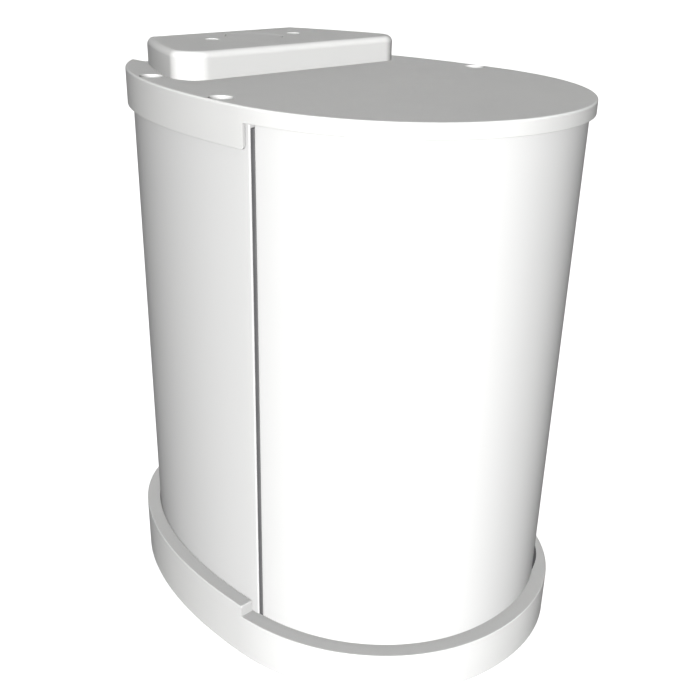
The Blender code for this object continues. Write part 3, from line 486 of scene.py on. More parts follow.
MATERIALS = {key: finish_of(*row[1:-1], **row[-1]) for key, row in FINISHES.items()}


def dress(thing, finish):
    thing.data.materials.clear()
    thing.data.materials.append(MATERIALS[finish])


def place(thing, finish, *nodes, body="cabinet", smooth=35):
    """Give a piece its finish and the body it rides on, and let it stand for CAD nodes."""
    if smooth:
        crisp(thing, smooth)
    dress(thing, finish)
    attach(thing, body)
    if nodes:
        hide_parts(*nodes)


def add(name, shape, finish, *nodes, **riding):
    """Make and place a piece that needs no cutting."""
    place(new_object(name, shape), finish, *nodes, **riding)


# ---- lid, cabinet, plinth ----

def stepped(outline, line_y, front_level, rear_level, radius):
    """Stations (index, fraction, level) round an outline whose level changes on a line across the plan.

    Behind the line the level starts at a quarter circle of the given radius; a negative radius bends it
    downwards.
    """
    stations = []
    for i, spot in enumerate(outline):
        here, there = Vector(spot), Vector(outline[(i + 1) % len(outline)])
        if not line_y - 1e-5 < here.y < line_y + abs(radius) + 1e-4:
            stations.append((i, 0.0, rear_level if here.y > line_y else front_level))
        if (here.y - line_y) * (there.y - line_y) < 0:
            forward = 1 if there.y > here.y else -1
            step = (there - here).length
            cross = (line_y - here.y) / (there.y - here.y)
            added = [(i, cross, front_level)]
            for k in range(9):
                turn = pi / 2 * k / 8
                along = cross + forward * abs(radius) * (1 - cos(turn)) / step
                added.append((i, along, rear_level - radius * (1 - sin(turn))))
            stations += added[::forward]
    return stations


def rim_swept(sharp, radius, stations, profile_at):
    """Sweeps the (inset, height) points of profile_at(level) round a closed outline."""
    loops = {}
    rows = []
    for i, t, level in stations:
        row = []
        for d, z in profile_at(level):
            key = round(d, 7)
            if key not in loops:
                loops[key] = filleted(offset_line(sharp, -key), radius, closed=True, least=40, steps=4,
                                      inset=key)
            loop = loops[key]
            here, there = Vector(loop[i]), Vector(loop[(i + 1) % len(loop)])
            row.append((*here.lerp(there, t), z))
        rows.append(row)
    return closed_up(skin(rows, ring=True, close=False, fill_ends=True))


def quarter(centre_d, centre_z, radius, start, stop, steps=5):
    """Points (inset, height) on an arc; 0 degrees points inward, 90 up."""
    return [(centre_d + radius * cos(radians(a)), centre_z + radius * sin(radians(a)))
            for a in (start + (stop - start) * k / steps for k in range(steps + 1))]


def build_lid():
    """The moulded lid: a rounded rim, a skirt that is deep over the cabinet, and four screw cups."""
    sharp, corner = front_arc(0, -0.12)[1:-1] + rear_path(0, -0.12), 0.0025
    rim, foot, inner, under = 0.0030, 0.0008, 0.0036, LID_TOP - LID_PLATE

    def profile(bottom):
        row = quarter(rim, LID_TOP - rim, rim, 90, 180, 6)
        row += quarter(foot, bottom + foot, foot, 180, 270, 3)
        row += quarter(inner - foot, bottom + foot, foot, 270, 360, 3)
        return row + [(inner, under - 0.002), (inner + 0.0006, under - 0.0006), (inner + 0.002, under)]

    outline = filleted(sharp, corner, closed=True, least=40, steps=4)
    stations = stepped(outline, SKIRT_END_Y, SHORT_SKIRT, TALL_SKIRT, -0.005)
    thing = new_object("lid_moulding", rim_swept(sharp, corner, stations, profile))
    cups, recesses = bmesh.new(), bmesh.new()
    floor, anchor = SHORT_SKIRT + 0.003, LID_TOP - 0.002
    for spot in RECESS_PLACES:
        turned([(0, anchor), (0.0182, anchor), (0.0182, SHORT_SKIRT + 0.001), (0.0172, SHORT_SKIRT),
                (0, SHORT_SKIRT)], spot, into=cups)
        mouth = [(0, 0.84), (RECESS_RADIUS + 0.0008, 0.84)] + flared(RECESS_RADIUS, 0.0008, LID_TOP)
        turned(mouth + [(RECESS_RADIUS, floor + 0.001), (RECESS_RADIUS - 0.001, floor), (0, floor)], spot,
               into=recesses)
    for x in (-0.078, 0.078):
        for y in (0.157, 0.219):
            turned([(0, 0.8297), (0.0036, 0.8297), (0.004, 0.8292), (0.004, anchor), (0, anchor)], (x, y),
                   steps=24, into=cups)
    holes = rods(RECESS_PLACES, 0.0033, *THROUGH_LID, steps=24)
    rod(0.012, *THROUGH_LID, LOOM_WAY, steps=40, into=holes)
    combine(thing, cups, "UNION")
    combine(thing, recesses)
    combine(thing, holes)
    place(thing, "shell_white", "lid_cover")


def build_cabinet():
    """The painted steel wrap: rolled front flanges, a channel down the back, service and inlet openings."""
    path = rear_path(BODY_INSET, CABINET_FRONT)
    path = [(path[0][0] - 0.020, CABINET_FRONT)] + path + [(path[-1][0] + 0.020, CABINET_FRONT)]
    path = filleted(path, 0.0020, least=30)
    thing = new_object("cabinet_wrap", wall(path, FLOOR, SHELL_TOP, SHEET, edge=0.0004))
    combine(thing, rods(RECESS_PLACES, 0.0106, SHELL_TOP - 0.0005, SHELL_TOP - 0.012, steps=40), "UNION")
    combine(thing, rods(RECESS_PLACES, 0.0034, *THROUGH_LID, steps=24))
    combine(thing, block((-0.095, 0.25, 0.24), (0.095, 0.30, 0.70)))
    combine(thing, block((-0.024, 0.25, 0.136), (0.024, 0.30, 0.166)))
    place(thing, "enamel", "cabinet_shell")


def shade_pad_outline():
    """A crescent just outside the foot of the drawer front, at the right: the outline of a dark pad that
    paints the shade of a gap there.
    """
    inner = [Vector(point) for point in front_arc(BODY_INSET, -0.185) if point[0] > 0.138]
    inner.sort(key=lambda point: point.x)
    outer = []
    for k, (point, normal) in enumerate(zip(inner, normals_of(inner, False))):
        outward = normal if normal.y < 0 else -normal
        outer.append(point + outward * (0.0005 + 0.0112 * sin(pi * k / (len(inner) - 1))))
    hidden = [point - Vector((0.001, -0.001)) for point in inner]
    return [tuple(point) for point in hidden + outer[::-1]]


def build_plinth():
    """The oval tray: a ledge under the drawer, a raised lip round the cabinet and four foot bosses."""
    outline = oval_arc(PLINTH_INSET, -90, 270, 1.2)[:-1]
    width, round_over, deck = LIP_INSET - PLINTH_INSET, 0.0014, LEDGE_TOP - 0.005

    def profile(top):
        soft = min(0.0015, top - LEDGE_TOP)
        row = [(0.010, deck), (0.008, deck - 0.002)] + quarter(0.0072, PLINTH_BOTTOM + 0.0008, 0.0008, 0, -90,
                                                               3)
        row += quarter(0.0010, PLINTH_BOTTOM + 0.0010, 0.0010, 270, 180, 3)
        row += quarter(round_over, top - round_over, round_over, 180, 90, 6)
        row += [(width - 0.0015, top), (width - 0.0007, top - soft * 0.1), (width - 0.0001, top - soft * 0.5)]
        row += [(width, top - soft), (width, LEDGE_TOP + soft * 0.5),
                (width + 0.0004, LEDGE_TOP + soft * 0.15)]
        return row + [(width + 0.0012, LEDGE_TOP)]

    stations = stepped(outline, STEP_Y, LEDGE_TOP, LIP_TOP, 0.002)
    thing = new_object("base_tray", rim_swept(outline, 0, stations, profile))
    # The pocket cut here and the dark pad set into it paint the shade of a gap at the foot of the drawer
    # front.
    strip = shade_pad_outline()
    combine(thing, prism(strip, LEDGE_TOP - 0.003, 0.2))
    bosses = bmesh.new()
    for spot in FOOT_PLACES:
        turned([(0, deck + 0.002), (0.022, deck + 0.002), (0.020, PLINTH_BOTTOM + 0.001),
                (0.019, PLINTH_BOTTOM), (0, PLINTH_BOTTOM)], spot, steps=48, into=bosses)
    combine(thing, bosses, "UNION")
    combine(thing, rods(FOOT_PLACES, 0.0155, 0.006, -0.01))
    place(thing, "shell_white", "base_plinth")
    add("ledge_shade_pad", prism(strip, LEDGE_TOP - 0.00295, LEDGE_TOP - 0.0012), "seal")


def build_feet():
    """Rubber feet with a grooved tread."""
    for name, spot in zip(CORNERS, FOOT_PLACES):
        profile = [(0, 0.0057), (0.0146, 0.0057), (0.015, 0.0052), (0.0146, 0.0006), (0.0138, 0.0)]
        for radius in (0.0112, 0.0078, 0.0044):
            profile += [(radius + 0.0008, 0.0), (radius + 0.0005, 0.0009), (radius - 0.0005, 0.0009),
                        (radius - 0.0008, 0.0)]
        add(name + "_rubber", turned(profile + [(0, 0.0)], spot, steps=56), "rubber", name + "_foot")


def build_lid_screws():
    """Cap screws with a hexagon socket, standing along Z in the lid's cups."""
    seat, head, tall, shank = SHORT_SKIRT + 0.003 + GAP, 0.0060, 0.0045, 0.0030
    tip, thread = seat - 0.018, shank * 0.86
    steps = int((seat - tip) / 0.001)
    for name, (x, y) in zip(CORNERS, RECESS_PLACES):
        profile = [(0, seat + tall), (head - 0.0006, seat + tall), (head, seat + tall - 0.0006), (head, seat)]
        profile.append((shank, seat))
        for k in range(steps):
            z = seat - 0.0006 - k * (seat - tip - 0.0012) / steps
            profile += [(shank, z), (thread, z - 0.0004)]
        profile += [(thread, tip + 0.0004), (thread * 0.8, tip), (0, tip)]
        thing = new_object(name + "_cap_screw", turned(profile, (x, y), steps=48))
        hexagon = arc((x, y), head * 0.56, 0, 300, 5)
        combine(thing, prism(hexagon, seat + tall - 0.0026, seat + tall + 0.01))
        place(thing, "turned", name + "_lid_screw")


# ---- drive cover, button, lenses and board ----

def cover_outline():
    corner, turn, front_y, back = 0.035, 14.5, 0.081, Vector((0.1425, 0.271))
    right = arc((0.1765, front_y + corner), corner, -90, turn, 28)
    start = Vector(right[-1])
    chord = back - start
    bulge = Vector((chord.y, -chord.x)).normalized() * 0.0045
    for step in range(1, 15):
        t = step / 14
        right.append(tuple(start + chord * t + bulge * (4 * t * (1 - t))))
    return right + mirrored(right)


def capped(outline, low, high, radius, segments):
    """A prism whose top edge and sharp upright corners are rounded."""
    shape = prism(outline, low, high)

    def rounded(edge):
        start, end = (v.co.z for v in edge.verts)
        upright = abs(start - end) > 1e-4 and edge.calc_face_angle(0) > radians(30)
        return min(start, end) > high - 1e-6 or upright

    edges = [edge for edge in shape.edges if rounded(edge)]
    bmesh.ops.bevel(shape, geom=edges, offset=radius, segments=segments, profile=0.5, affect="EDGES",
                    clamp_overlap=True)
    return closed_up(shape)


def build_drive_cover():
    """The raised housing over the drive: generous top radius, holes for the button and the two lenses."""
    outline = cover_outline()
    thing = new_object("drive_housing", capped(outline, LID_TOP + GAP, COVER_TOP, 0.0095, 10))
    combine(thing, capped(offset_line(outline, -0.003), LID_TOP - 0.01, COVER_TOP - COVER_WALL, 0.0065, 6))
    holes = bmesh.new()
    for x, radius in ((0, BUTTON_RADIUS + 0.0007), (-LENS_X, LENS_RADIUS + GAP), (LENS_X, LENS_RADIUS + GAP)):
        mouth = [(0, 0.88), (radius + 0.0006, 0.88)] + flared(radius, 0.0006, COVER_TOP)
        turned(mouth + [(radius, 0.85), (0, 0.85)], (x, BUTTON_Y), steps=96, into=holes)
    combine(thing, holes)
    place(thing, "shell_white", "drive_cover")


def build_button():
    """A flush round cap with a soft edge and a very slight dish, its flange and stem, and its spring."""
    ceiling, under = COVER_TOP - COVER_WALL - GAP, COVER_TOP - 0.0065
    rim, flange, stem = BUTTON_RADIUS, BUTTON_RADIUS + 0.0035, 0.006
    profile = [(0, COVER_TOP - 0.0004), (0.030, COVER_TOP - 0.0003), (0.038, COVER_TOP - 0.0001)]
    profile += [(rim - 0.0008, COVER_TOP), (rim - 0.0003, COVER_TOP - 0.0002), (rim, COVER_TOP - 0.0008),
                (rim, ceiling)]
    profile += [(flange, ceiling), (flange, under), (0.012, under), (stem, under - 0.002), (stem, 0.8385)]
    profile += [(stem - 0.0005, 0.8380), (0, 0.8380)]
    add("start_button_cap", turned(profile, (0, BUTTON_Y), steps=96), "shell_white", "start_button",
        body="button")
    low, high, turns = 0.8326, under - 0.0010, 3
    points = []
    for step in range(turns * 32 + 1):
        angle = 2 * pi * step / 32
        points.append((0.0085 * cos(angle), BUTTON_Y + 0.0085 * sin(angle), low +
                       (high - low) * step / turns / 32))
    spring = tube("return_spring", points, 0.0006, sides=12)
    place(spring, "turned", "button_spring", smooth=0)
    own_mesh(spring)


def build_lenses():
    ceiling = COVER_TOP - COVER_WALL - GAP
    top = COVER_TOP - 0.0002
    profile = [(0, top), (0.0070, top - 0.0001), (0.0088, top - 0.0005), (0.0096, top - 0.0010),
               (LENS_RADIUS, top - 0.0018)]
    profile += [(LENS_RADIUS, ceiling), (0.0118, ceiling), (0.0118, ceiling - 0.002), (0, ceiling - 0.002)]
    for name, x in (("left", -LENS_X), ("right", LENS_X)):
        add(name + "_lens", turned(profile, (x, BUTTON_Y), steps=64), "lens", name + "_indicator")


# ---- drawer front ----

def build_door():
    """The curved drawer front: painted skin with rolled returns, liner, and a cap at top and bottom."""
    points = front_arc(BODY_INSET, DOOR_BACK)
    path = [(points[0][0] + DOOR_DEPTH, DOOR_BACK)] + points + [(points[-1][0] - DOOR_DEPTH, DOOR_BACK)]
    outer = wall(filleted(path, 0.003, least=30), DOOR_BOTTOM, DOOR_TOP, SHEET, edge=0.0008)
    add("drawer_front_skin", outer, "enamel", "door_shell", body="drawer")
    inset = BODY_INSET + DOOR_DEPTH + GAP
    inner = wall(front_arc(inset, DOOR_BACK), DOOR_BOTTOM, DOOR_TOP, 0.002, edge=0.0006)
    liner = new_object("drawer_liner_panel", inner)
    combine(liner, block((-0.2430, DOOR_BACK - 0.0040, 0.310), (-0.208, DOOR_BACK - 0.0015, 0.350), 0.0006),
            "UNION")
    place(liner, "shell_white", "door_liner", body="drawer")
    back = DOOR_BACK - SHEET - GAP
    rim = front_arc(BODY_INSET + SHEET + GAP, back) + front_arc(inset - GAP, back)[::-1]
    for name, node, low, high in (("drawer_top_strip", "door_top_cap", DOOR_TOP - 0.004, DOOR_TOP - 0.001),
                                  ("drawer_bottom_strip", "door_bottom_cap", DOOR_BOTTOM + 0.001,
                                   DOOR_BOTTOM + 0.004)):
        add(name, closed_up(prism(rim, low, high)), "shell_white", node, body="drawer")


# ---- back of the cabinet and the opening ----

def ribbon(path, thickness):
    """The closed outline of a sheet that follows a path, its thickness on the left."""
    return path + offset_line(path, -thickness, closed=False)[::-1]


def build_back():
    """Service panel with rounded louvre slots, its two screws and the power inlet."""
    face = NOTCH_FLOOR - BODY_INSET + GAP
    outer = face + 0.0018
    outline = rounded_box((-0.105, 0.230), (0.105, 0.710), 0.006)
    panel = new_object("service_panel", prism(outline, face, outer, "XZ", 0.0006, 3))
    rows = [0.56 + 0.014 * row for row in range(9)]
    slots = prisms([rounded_box((-0.060, z), (0.060, z + 0.005), 0.0024, 6)
                    for z in rows], face - 0.01, face + 0.01, "XZ")
    combine(panel, slots)
    place(panel, "enamel", "rear_panel")
    profile = [(0, outer + 0.0022), (0.0016, outer + 0.0021), (0.0030, outer + 0.0015),
               (0.0038, outer + 0.0004)]
    profile += [(0.0038, outer + GAP), (0, outer + GAP)]
    for name, x in (("left", -0.099), ("right", 0.099)):
        screw = new_object(name + "_panel_fixing", turned(profile, (x, 0.47), "Y", 40))
        for a, b in ((0.0020, 0.00035), (0.00035, 0.0020)):
            combine(screw, block((x - a, outer + 0.0010, 0.47 - b), (x + a, outer + 0.004, 0.47 + b)))
        place(screw, "turned", name + "_panel_screw")

    inlet = new_object("power_inlet_body", block((-0.0235, 0.262, 0.1363), (0.0235, face + 0.002, 0.1657),
                                                 0.001))
    flange = prism(rounded_box((-0.030, 0.132), (0.030, 0.170), 0.004, 6), face, face + 0.003, "XZ", 0.0007,
                   3)
    combine(inlet, flange, "UNION")
    socket = [(-0.0125, 0.142), (0.0125, 0.142), (0.0125, 0.1552), (0.0085, 0.160), (-0.0085, 0.160),
              (-0.0125, 0.1552)]
    combine(inlet, prism(filleted(socket, 0.001, True), 0.2665, 0.30, "XZ"))
    for x, z in ((-0.007, 0.148), (0.007, 0.148), (0, 0.1545)):
        combine(inlet, block((x - 0.001, 0.264, z - 0.002), (x + 0.001, 0.280, z + 0.002), 0.0004), "UNION")
    place(inlet, "dark", "power_inlet")


def smooth_route(points):
    """A Catmull-Rom curve through the points."""
    spots = [Vector(points[0])] + [Vector(p) for p in points] + [Vector(points[-1])]
    found = []
    for a, b, c, d in zip(spots, spots[1:], spots[2:], spots[3:]):
        for t in (k / 6 for k in range(6)):
            square, cube = 2 * a - 5 * b + 4 * c - d, 3 * b - a - 3 * c + d
            found.append((2 * b + (c - a) * t + square * t * t + cube * t ** 3) / 2)
    return found + [spots[-1]]


def build_loom():
    x, y = LOOM_WAY
    route = [(0, 0.2612, 0.151), (0, 0.255, 0.151), (-0.010, 0.247, 0.152), (-0.040, 0.240, 0.160),
             (-0.075, y, 0.185)]
    route += [(-0.095, y, 0.23)] + [(x, y, 0.26 + 0.06 * k) for k in range(10)]
    route += [(x, y, 0.832), (x + 0.002, y - 0.003, 0.838), (x + 0.008, y - 0.010, 0.8405),
              (x + 0.018, y - 0.02, 0.8405)]
    place(tube("cable_loom", smooth_route(route), 0.004, 16), "cable", "wiring_loom", smooth=0)
    for k in range(5):
        z = 0.30 + 0.10 * k
        profile = [(0.0041, z), (0.0052, z + 0.0004), (0.0052, z + 0.0026), (0.0041, z + 0.003)]
        add(f"loom_tie_{k + 1}", turned(profile, LOOM_WAY, steps=32, ring=True), "gloss_white")


def build_seal():
    outer, inner, low, high = 0.2645, 0.2535, FLOOR, 0.800
    path = [(-outer, low), (outer, low), (outer, high), (inner, high), (inner, low + 0.0035)]
    path += [(-inner, low + 0.0035), (-inner, high), (-outer, high)]
    add("opening_seal", prism(path, DOOR_BACK + 0.0006, CABINET_FRONT - GAP, "XZ", 0.0011, 3), "seal",
        "door_seal")


# ---- frame, drive and ram ----

def build_frames():
    """Folded side sheets with a window for the bridge, pressed ribs and the lower screw bearing."""
    top = PLATE_BOTTOM - GAP
    for name, side in SIDES:
        def span(*ends):
            return sorted(side * x for x in ends)
        path = [(side * x, y) for x, y in ((0.200, -0.101), (0.182, -0.101), (0.182, 0.205), (0.200, 0.205))]
        sheet = new_object(name + "_side_sheet", wall(filleted(path[::-side], 0.003), FLOOR, top, SHEET,
                                                      edge=0.0003))
        window = rounded_box((SCREW_Y - 0.043, 0.465), (SCREW_Y + 0.043, 0.768), 0.003)
        combine(sheet, prism(window, *span(0.170, 0.196), "YZ"))
        ribs = [rounded_box((y, 0.23), (y + 0.012, 0.72), 0.0058) for y in (0.075, 0.115, 0.155)]
        combine(sheet, prisms(ribs, *span(0.1832, 0.1808), "YZ", 0.0008, 2), "UNION")
        near, far = span(0.183, 0.236)
        bearing = block((near, SCREW_Y - 0.018, 0.431), (far, SCREW_Y + 0.018, BEARING_TOP), 0.0012)
        combine(sheet, bearing, "UNION")
        combine(sheet, rod(SCREW_RADIUS + GAP, 0.46, 0.42, (side * SCREW_X, SCREW_Y)))
        place(sheet, "zinc", name + "_side_frame")
    back = new_object("chamber_rear_sheet", block((-0.1808, 0.1860, FLOOR), (0.1808, 0.1885, top), 0.0003, 1))
    ribs = [rounded_box((-0.15, z), (0.15, z + 0.014), 0.0068) for z in (0.26, 0.36, 0.46, 0.56)]
    combine(back, prisms(ribs, 0.1849, 0.187, "XZ", 0.0008, 2), "UNION")
    place(back, "zinc", "chamber_back")
    face = 0.182 + SHEET + GAP
    switch = new_object("limit_switch_body", block((face, 0.010, 0.738), (face + 0.010, 0.030, 0.758),
                                                   0.0008))
    for spot in ((0.014, 0.742), (0.026, 0.754)):
        combine(switch, rod(0.0014, 0.25, face + 0.008, spot, "X", 24))
    place(switch, "dark", "limit_switch")


def build_power_screws():
    """Five-start screws: a left-hand trapezium thread with a 25 mm lead, and a plain journal at each end."""
    pitch, starts, depth, turns = 0.005, 5, 0.0011, 40
    low, high = 0.450, 0.770
    heights = [low + (high - low) * k / 512 for k in range(513)]
    for name, side in SIDES:
        x = side * SCREW_X
        sections = []
        for k in range(turns):
            angle = 2 * pi * k / turns
            row = [(0, SCREW_FOOT), (SCREW_RADIUS - 0.001, SCREW_FOOT), (SCREW_RADIUS, 0.429),
                   (SCREW_RADIUS, low - 0.0005)]
            for z in heights:
                wave = abs((z / pitch + starts * k / turns) % 1 - 0.5) * 2
                sunk = depth * min(1, max(0, (wave - 0.35) / 0.3))
                row.append((SCREW_RADIUS - sunk, z))
            row += [(SCREW_RADIUS, high + 0.0005), (SCREW_RADIUS, 0.811), (SCREW_RADIUS - 0.001, SCREW_HEAD),
                    (0, SCREW_HEAD)]
            sections.append([(x + r * cos(angle), SCREW_Y + r * sin(angle), z) for r, z in row])
        add(name + "_threaded_screw", closed_up(skin(sections, ring=True, close=False)), "turned",
            name + "_power_screw", body=name + "_screw", smooth=50)


def pulley_row(radius):
    """The groove of a belt wheel between its two flanges, from the top down."""
    flange, lip, edge = radius + WHEEL_FLANGE, 0.0012, 0.0003
    return [(flange - edge, BELT_HIGH + lip), (flange, BELT_HIGH + lip - edge), (flange - 0.0004, BELT_HIGH),
            (radius, BELT_HIGH - 0.0008), (radius, BELT_LOW + 0.0008), (flange - 0.0004, BELT_LOW),
            (flange, BELT_LOW - lip + edge), (flange - edge, BELT_LOW - lip)]


def build_drive():
    bore = SCREW_RADIUS + GAP
    dish = [(0.0155, HUB_HIGH), (0.0160, 0.8005), (0.0265, 0.8005), (0.0270, HUB_HIGH)]
    under = [(0.0270, HUB_LOW), (0.0265, 0.7915), (0.0160, 0.7915), (0.0155, HUB_LOW)]
    wheel_row = [(bore, HUB_LOW), (bore, HUB_HIGH)] + dish + pulley_row(WHEEL_RADIUS) + under
    bearing = [(bore, 0.7873), (0.0100, 0.7875), (0.0103, 0.7869), (0.0118, 0.7869), (0.0121, 0.7875),
               (0.0136, 0.7875), (0.014, 0.7870), (0.014, 0.7812), (0.0197, 0.781), (0.020, 0.7806),
               (0.020, 0.7763), (bore, 0.7763)]
    for name, side in SIDES:
        x = side * SCREW_X
        wheel = new_object(name + "_belt_wheel", turned(wheel_row, (x, SCREW_Y), steps=96, ring=True))
        ring = [(x + 0.0212 * cos(pi * k / 3), SCREW_Y + 0.0212 * sin(pi * k / 3)) for k in range(6)]
        combine(wheel, rods(ring, 0.0035, 0.81, 0.78, steps=28))
        place(wheel, "brushed_x", name + "_screw_pulley", body=name + "_screw")
        add(name + "_flange_bearing", turned(bearing, (x, SCREW_Y), steps=80, ring=True), "turned",
            name + "_screw_bearing")
    profile = [(0, 0.812), (0.0035, 0.812), (0.004, 0.8115),
               (0.004, HUB_HIGH)] + pulley_row(MOTOR_WHEEL_RADIUS)
    profile += [(0.004, HUB_LOW), (0.004, 0.7728), (0.0036, 0.7723), (0, 0.7723)]
    add("motor_belt_wheel", turned(profile, (0, MOTOR_Y), steps=64), "turned", "motor_pulley",
        body="motor_output")

    wheels = [(-SCREW_X, SCREW_Y, WHEEL_RADIUS), (SCREW_X, SCREW_Y, WHEEL_RADIUS),
              (0, MOTOR_Y, MOTOR_WHEEL_RADIUS)]
    path = belt_path(wheels, GAP + 0.0025)
    ribs = [(0.0024 - 0.0006 * (k % 2), 0.8008 - 0.0012 * k) for k in range(8)]
    row = [(0.0003, 0.7910), (0.0, 0.7914), (0.0, 0.8006), (0.0003, 0.8010)] + ribs + [(0.0024, 0.7912)]
    rows = [[(x - n.x * d, y - n.y * d, z) for d, z in row]
            for (x, y), n in zip(path, normals_of(path, True))]
    add("ribbed_belt", closed_up(skin(rows, ring=True)), "rubber", "drive_belt")

    top = PLATE_BOTTOM - GAP
    profile = [(0, top), (0.0374, top), (0.038, top - 0.0006), (0.038, 0.7140), (0.0365, 0.7120),
               (0.034, 0.7110)]
    profile += [(0.034, 0.7060), (0.0332, 0.7050), (0.0332, 0.6400), (0.034, 0.6390), (0.034, 0.6230),
                (0.031, 0.6182), (0.014, 0.6180), (0.012, 0.6200), (0.011, 0.6200), (0.009, 0.6180),
                (0, 0.6180)]
    motor = new_object("gear_motor_body", turned(profile, (0, MOTOR_Y), steps=96))
    slots = bmesh.new()
    for k in range(12):
        turn = Matrix.Rotation(2 * pi * k / 12, 4, "Z")
        slot = prism(rounded_box((-0.0016, 0.650), (0.0016, 0.695), 0.0015), 0.030, 0.040, "XZ")
        bmesh.ops.transform(slot, matrix=Matrix.Translation((0, MOTOR_Y, 0)) @ turn, verts=slot.verts)
        merged(slot, slots)
    combine(motor, slots)
    place(motor, "motor", "gear_motor")


def belt_path(circles, offset):
    """The outer line of a belt round circles (x, y, radius), listed anticlockwise."""
    normals = []
    for (x, y, radius), (nx, ny, next_radius) in zip(circles, circles[1:] + circles[:1]):
        span = hypot(nx - x, ny - y)
        normals.append(atan2(ny - y, nx - x) - pi / 2 + asin((radius - next_radius) / span))
    path = []
    for (x, y, radius), arriving, leaving in zip(circles, normals[-1:] + normals[:-1], normals):
        turn = (leaving - arriving) % (2 * pi)
        steps = max(3, ceil(turn / radians(5)))
        path += arc((x, y), radius + offset, arriving * 180 / pi, (arriving + turn) * 180 / pi, steps)
    return path


def build_ram():
    """Pan-shaped ram plate, gusseted column, folded bridge, bronze nuts and nylon guide shoes."""
    low, high, sheet = 0.600, 0.628, 0.003
    outline = rounded_box((-0.138, -0.288), (0.138, 0.155), (0.048, 0.020, 0.020, 0.048), 12)
    bends = [pi / 2 * k / 6 for k in range(7)]
    profile = [(0.005 * (1 - sin(a)), low + 0.005 * (1 - cos(a))) for a in bends]
    profile += [(0, high - 0.0004), (0.0004, high), (sheet - 0.0004, high), (sheet, high - 0.0004),
                (sheet, low + 0.0055)]
    profile += [(sheet + 0.0007, low + 0.0037), (sheet + 0.0025, low + sheet)]
    rows = [[(x, y, z) for x, y in offset_line(outline, -d)] for d, z in profile]
    add("ram_pan", closed_up(skin(rows, cap_start=True, cap_end=True)), "ram_steel", "ram_plate", body="ram")

    foot = low + sheet + GAP
    box = rounded_box((-0.060, SCREW_Y - 0.035), (0.060, SCREW_Y + 0.035), 0.006)
    column = new_object("ram_box_column", wall(box, foot, BRIDGE_BOTTOM - GAP, 0.003, closed=True,
                                               edge=0.0004))
    side = [(-0.265, foot), (0.130, foot), (0.130, 0.615), (0.000, 0.720), (-0.080, 0.720), (-0.265, 0.615)]
    gussets = bmesh.new()
    for x in (-0.0625, 0.0585):
        prism(filleted(side, 0.008, True, 20), x, x + 0.004, "YZ", 0.0006, 2, into=gussets)
    combine(column, gussets, "UNION")
    combine(column, rods(((-0.150, 0.640), (0.045, 0.645)), 0.013, 0.08, -0.08, "X"))
    place(column, "zinc", "ram_column", body="ram")

    path = [(SCREW_Y + 0.035, BRIDGE_BOTTOM), (SCREW_Y + 0.035, 0.765), (SCREW_Y - 0.035, 0.765),
            (SCREW_Y - 0.035, BRIDGE_BOTTOM)]
    section = ribbon(filleted(path, 0.005), 0.004)
    bridge = new_object("ram_cross_bridge", prism(section, -0.230, 0.230, "YZ", 0.0005, 2, 50))
    ways = rods([(side * SCREW_X, SCREW_Y) for side in (-1, 1)], 0.009, 0.8, 0.7)
    for x in (-0.12, 0.12):
        prism(rounded_box((x - 0.030, SCREW_Y - 0.012), (x + 0.030, SCREW_Y + 0.012), 0.0118), 0.75, 0.78,
              into=ways)
    combine(bridge, ways)
    place(bridge, "zinc", "ram_bridge", body="ram")

    bore, web = SCREW_RADIUS + GAP, 0.761 - GAP
    profile = [(bore, web), (0.0176, web), (0.018, web - 0.0004), (0.018, web - 0.0056),
               (0.0176, web - 0.006)]
    profile += [(0.0132, web - 0.006), (0.013, web - 0.0065), (0.013, 0.7275), (0.0125, 0.727),
                (bore + 0.0008, 0.727), (bore, 0.7278)]
    near, far, seat, shelf = 0.035 + GAP, 0.0425, 0.729, BRIDGE_BOTTOM - GAP
    shoe = [(-far, seat), (far, seat), (far, 0.762), (near, 0.762), (near, shelf), (-near, shelf),
            (-near, 0.762), (-far, 0.762)]
    shoe = filleted([(SCREW_Y + y, z) for y, z in shoe], 0.0012, True)
    for name, side in SIDES:
        nut = new_object(name + "_flanged_nut", turned(profile, (side * SCREW_X, SCREW_Y), steps=72,
                                                       ring=True))
        dimples = [pi * (k + 0.5) / 2 for k in range(4)]
        spots = [(side * SCREW_X + 0.0155 * cos(a), SCREW_Y + 0.0155 * sin(a)) for a in dimples]
        combine(nut, rods(spots, 0.0014, 0.77, 0.75, steps=20))
        place(nut, "brass", name + "_drive_nut", body="ram")
        add(name + "_guide_pad", prism(shoe, *sorted((side * 0.176, side * 0.192)), "YZ", 0.0006, 2, 50),
            "dark", name + "_guide_shoe", body="ram")


# ---- drawer inside: carrier, slides, bin, bail, latch ----

def build_carrier():
    """A folded tray with its tongue, lightening slots and hemmed back."""
    half, front, back, low, high = 0.1575, -0.262, 0.180, 0.0900, 0.165
    path = [(half, high), (half, low), (-half, low), (-half, high)]
    tray = new_object("bin_carrier", prism(ribbon(filleted(path, 0.003)[::-1], 0.002), front, back, "XZ",
                                           0.0004, 1, 50))
    wall_back = rounded_box((-half + 0.001, low + 0.001), (half - 0.001, high), 0.0005, 1)
    combine(tray, prism(wall_back, back - 0.002, back - GAP / 3, "XZ"), "UNION")
    combine(tray, prism(front_arc(BODY_INSET + DOOR_DEPTH + 0.0026, -0.200), 0.0870, 0.0905, radius=0.0004),
            "UNION")
    centres = [(x, y) for x in (-0.095, 0, 0.095) for y in (-0.16, -0.04, 0.08)]
    windows = [rounded_box((x - 0.032, y - 0.035), (x + 0.032, y + 0.035), 0.012) for x, y in centres]
    combine(tray, prisms(windows, 0.08, 0.10))
    place(tray, "zinc", "drawer_carrier", body="drawer")


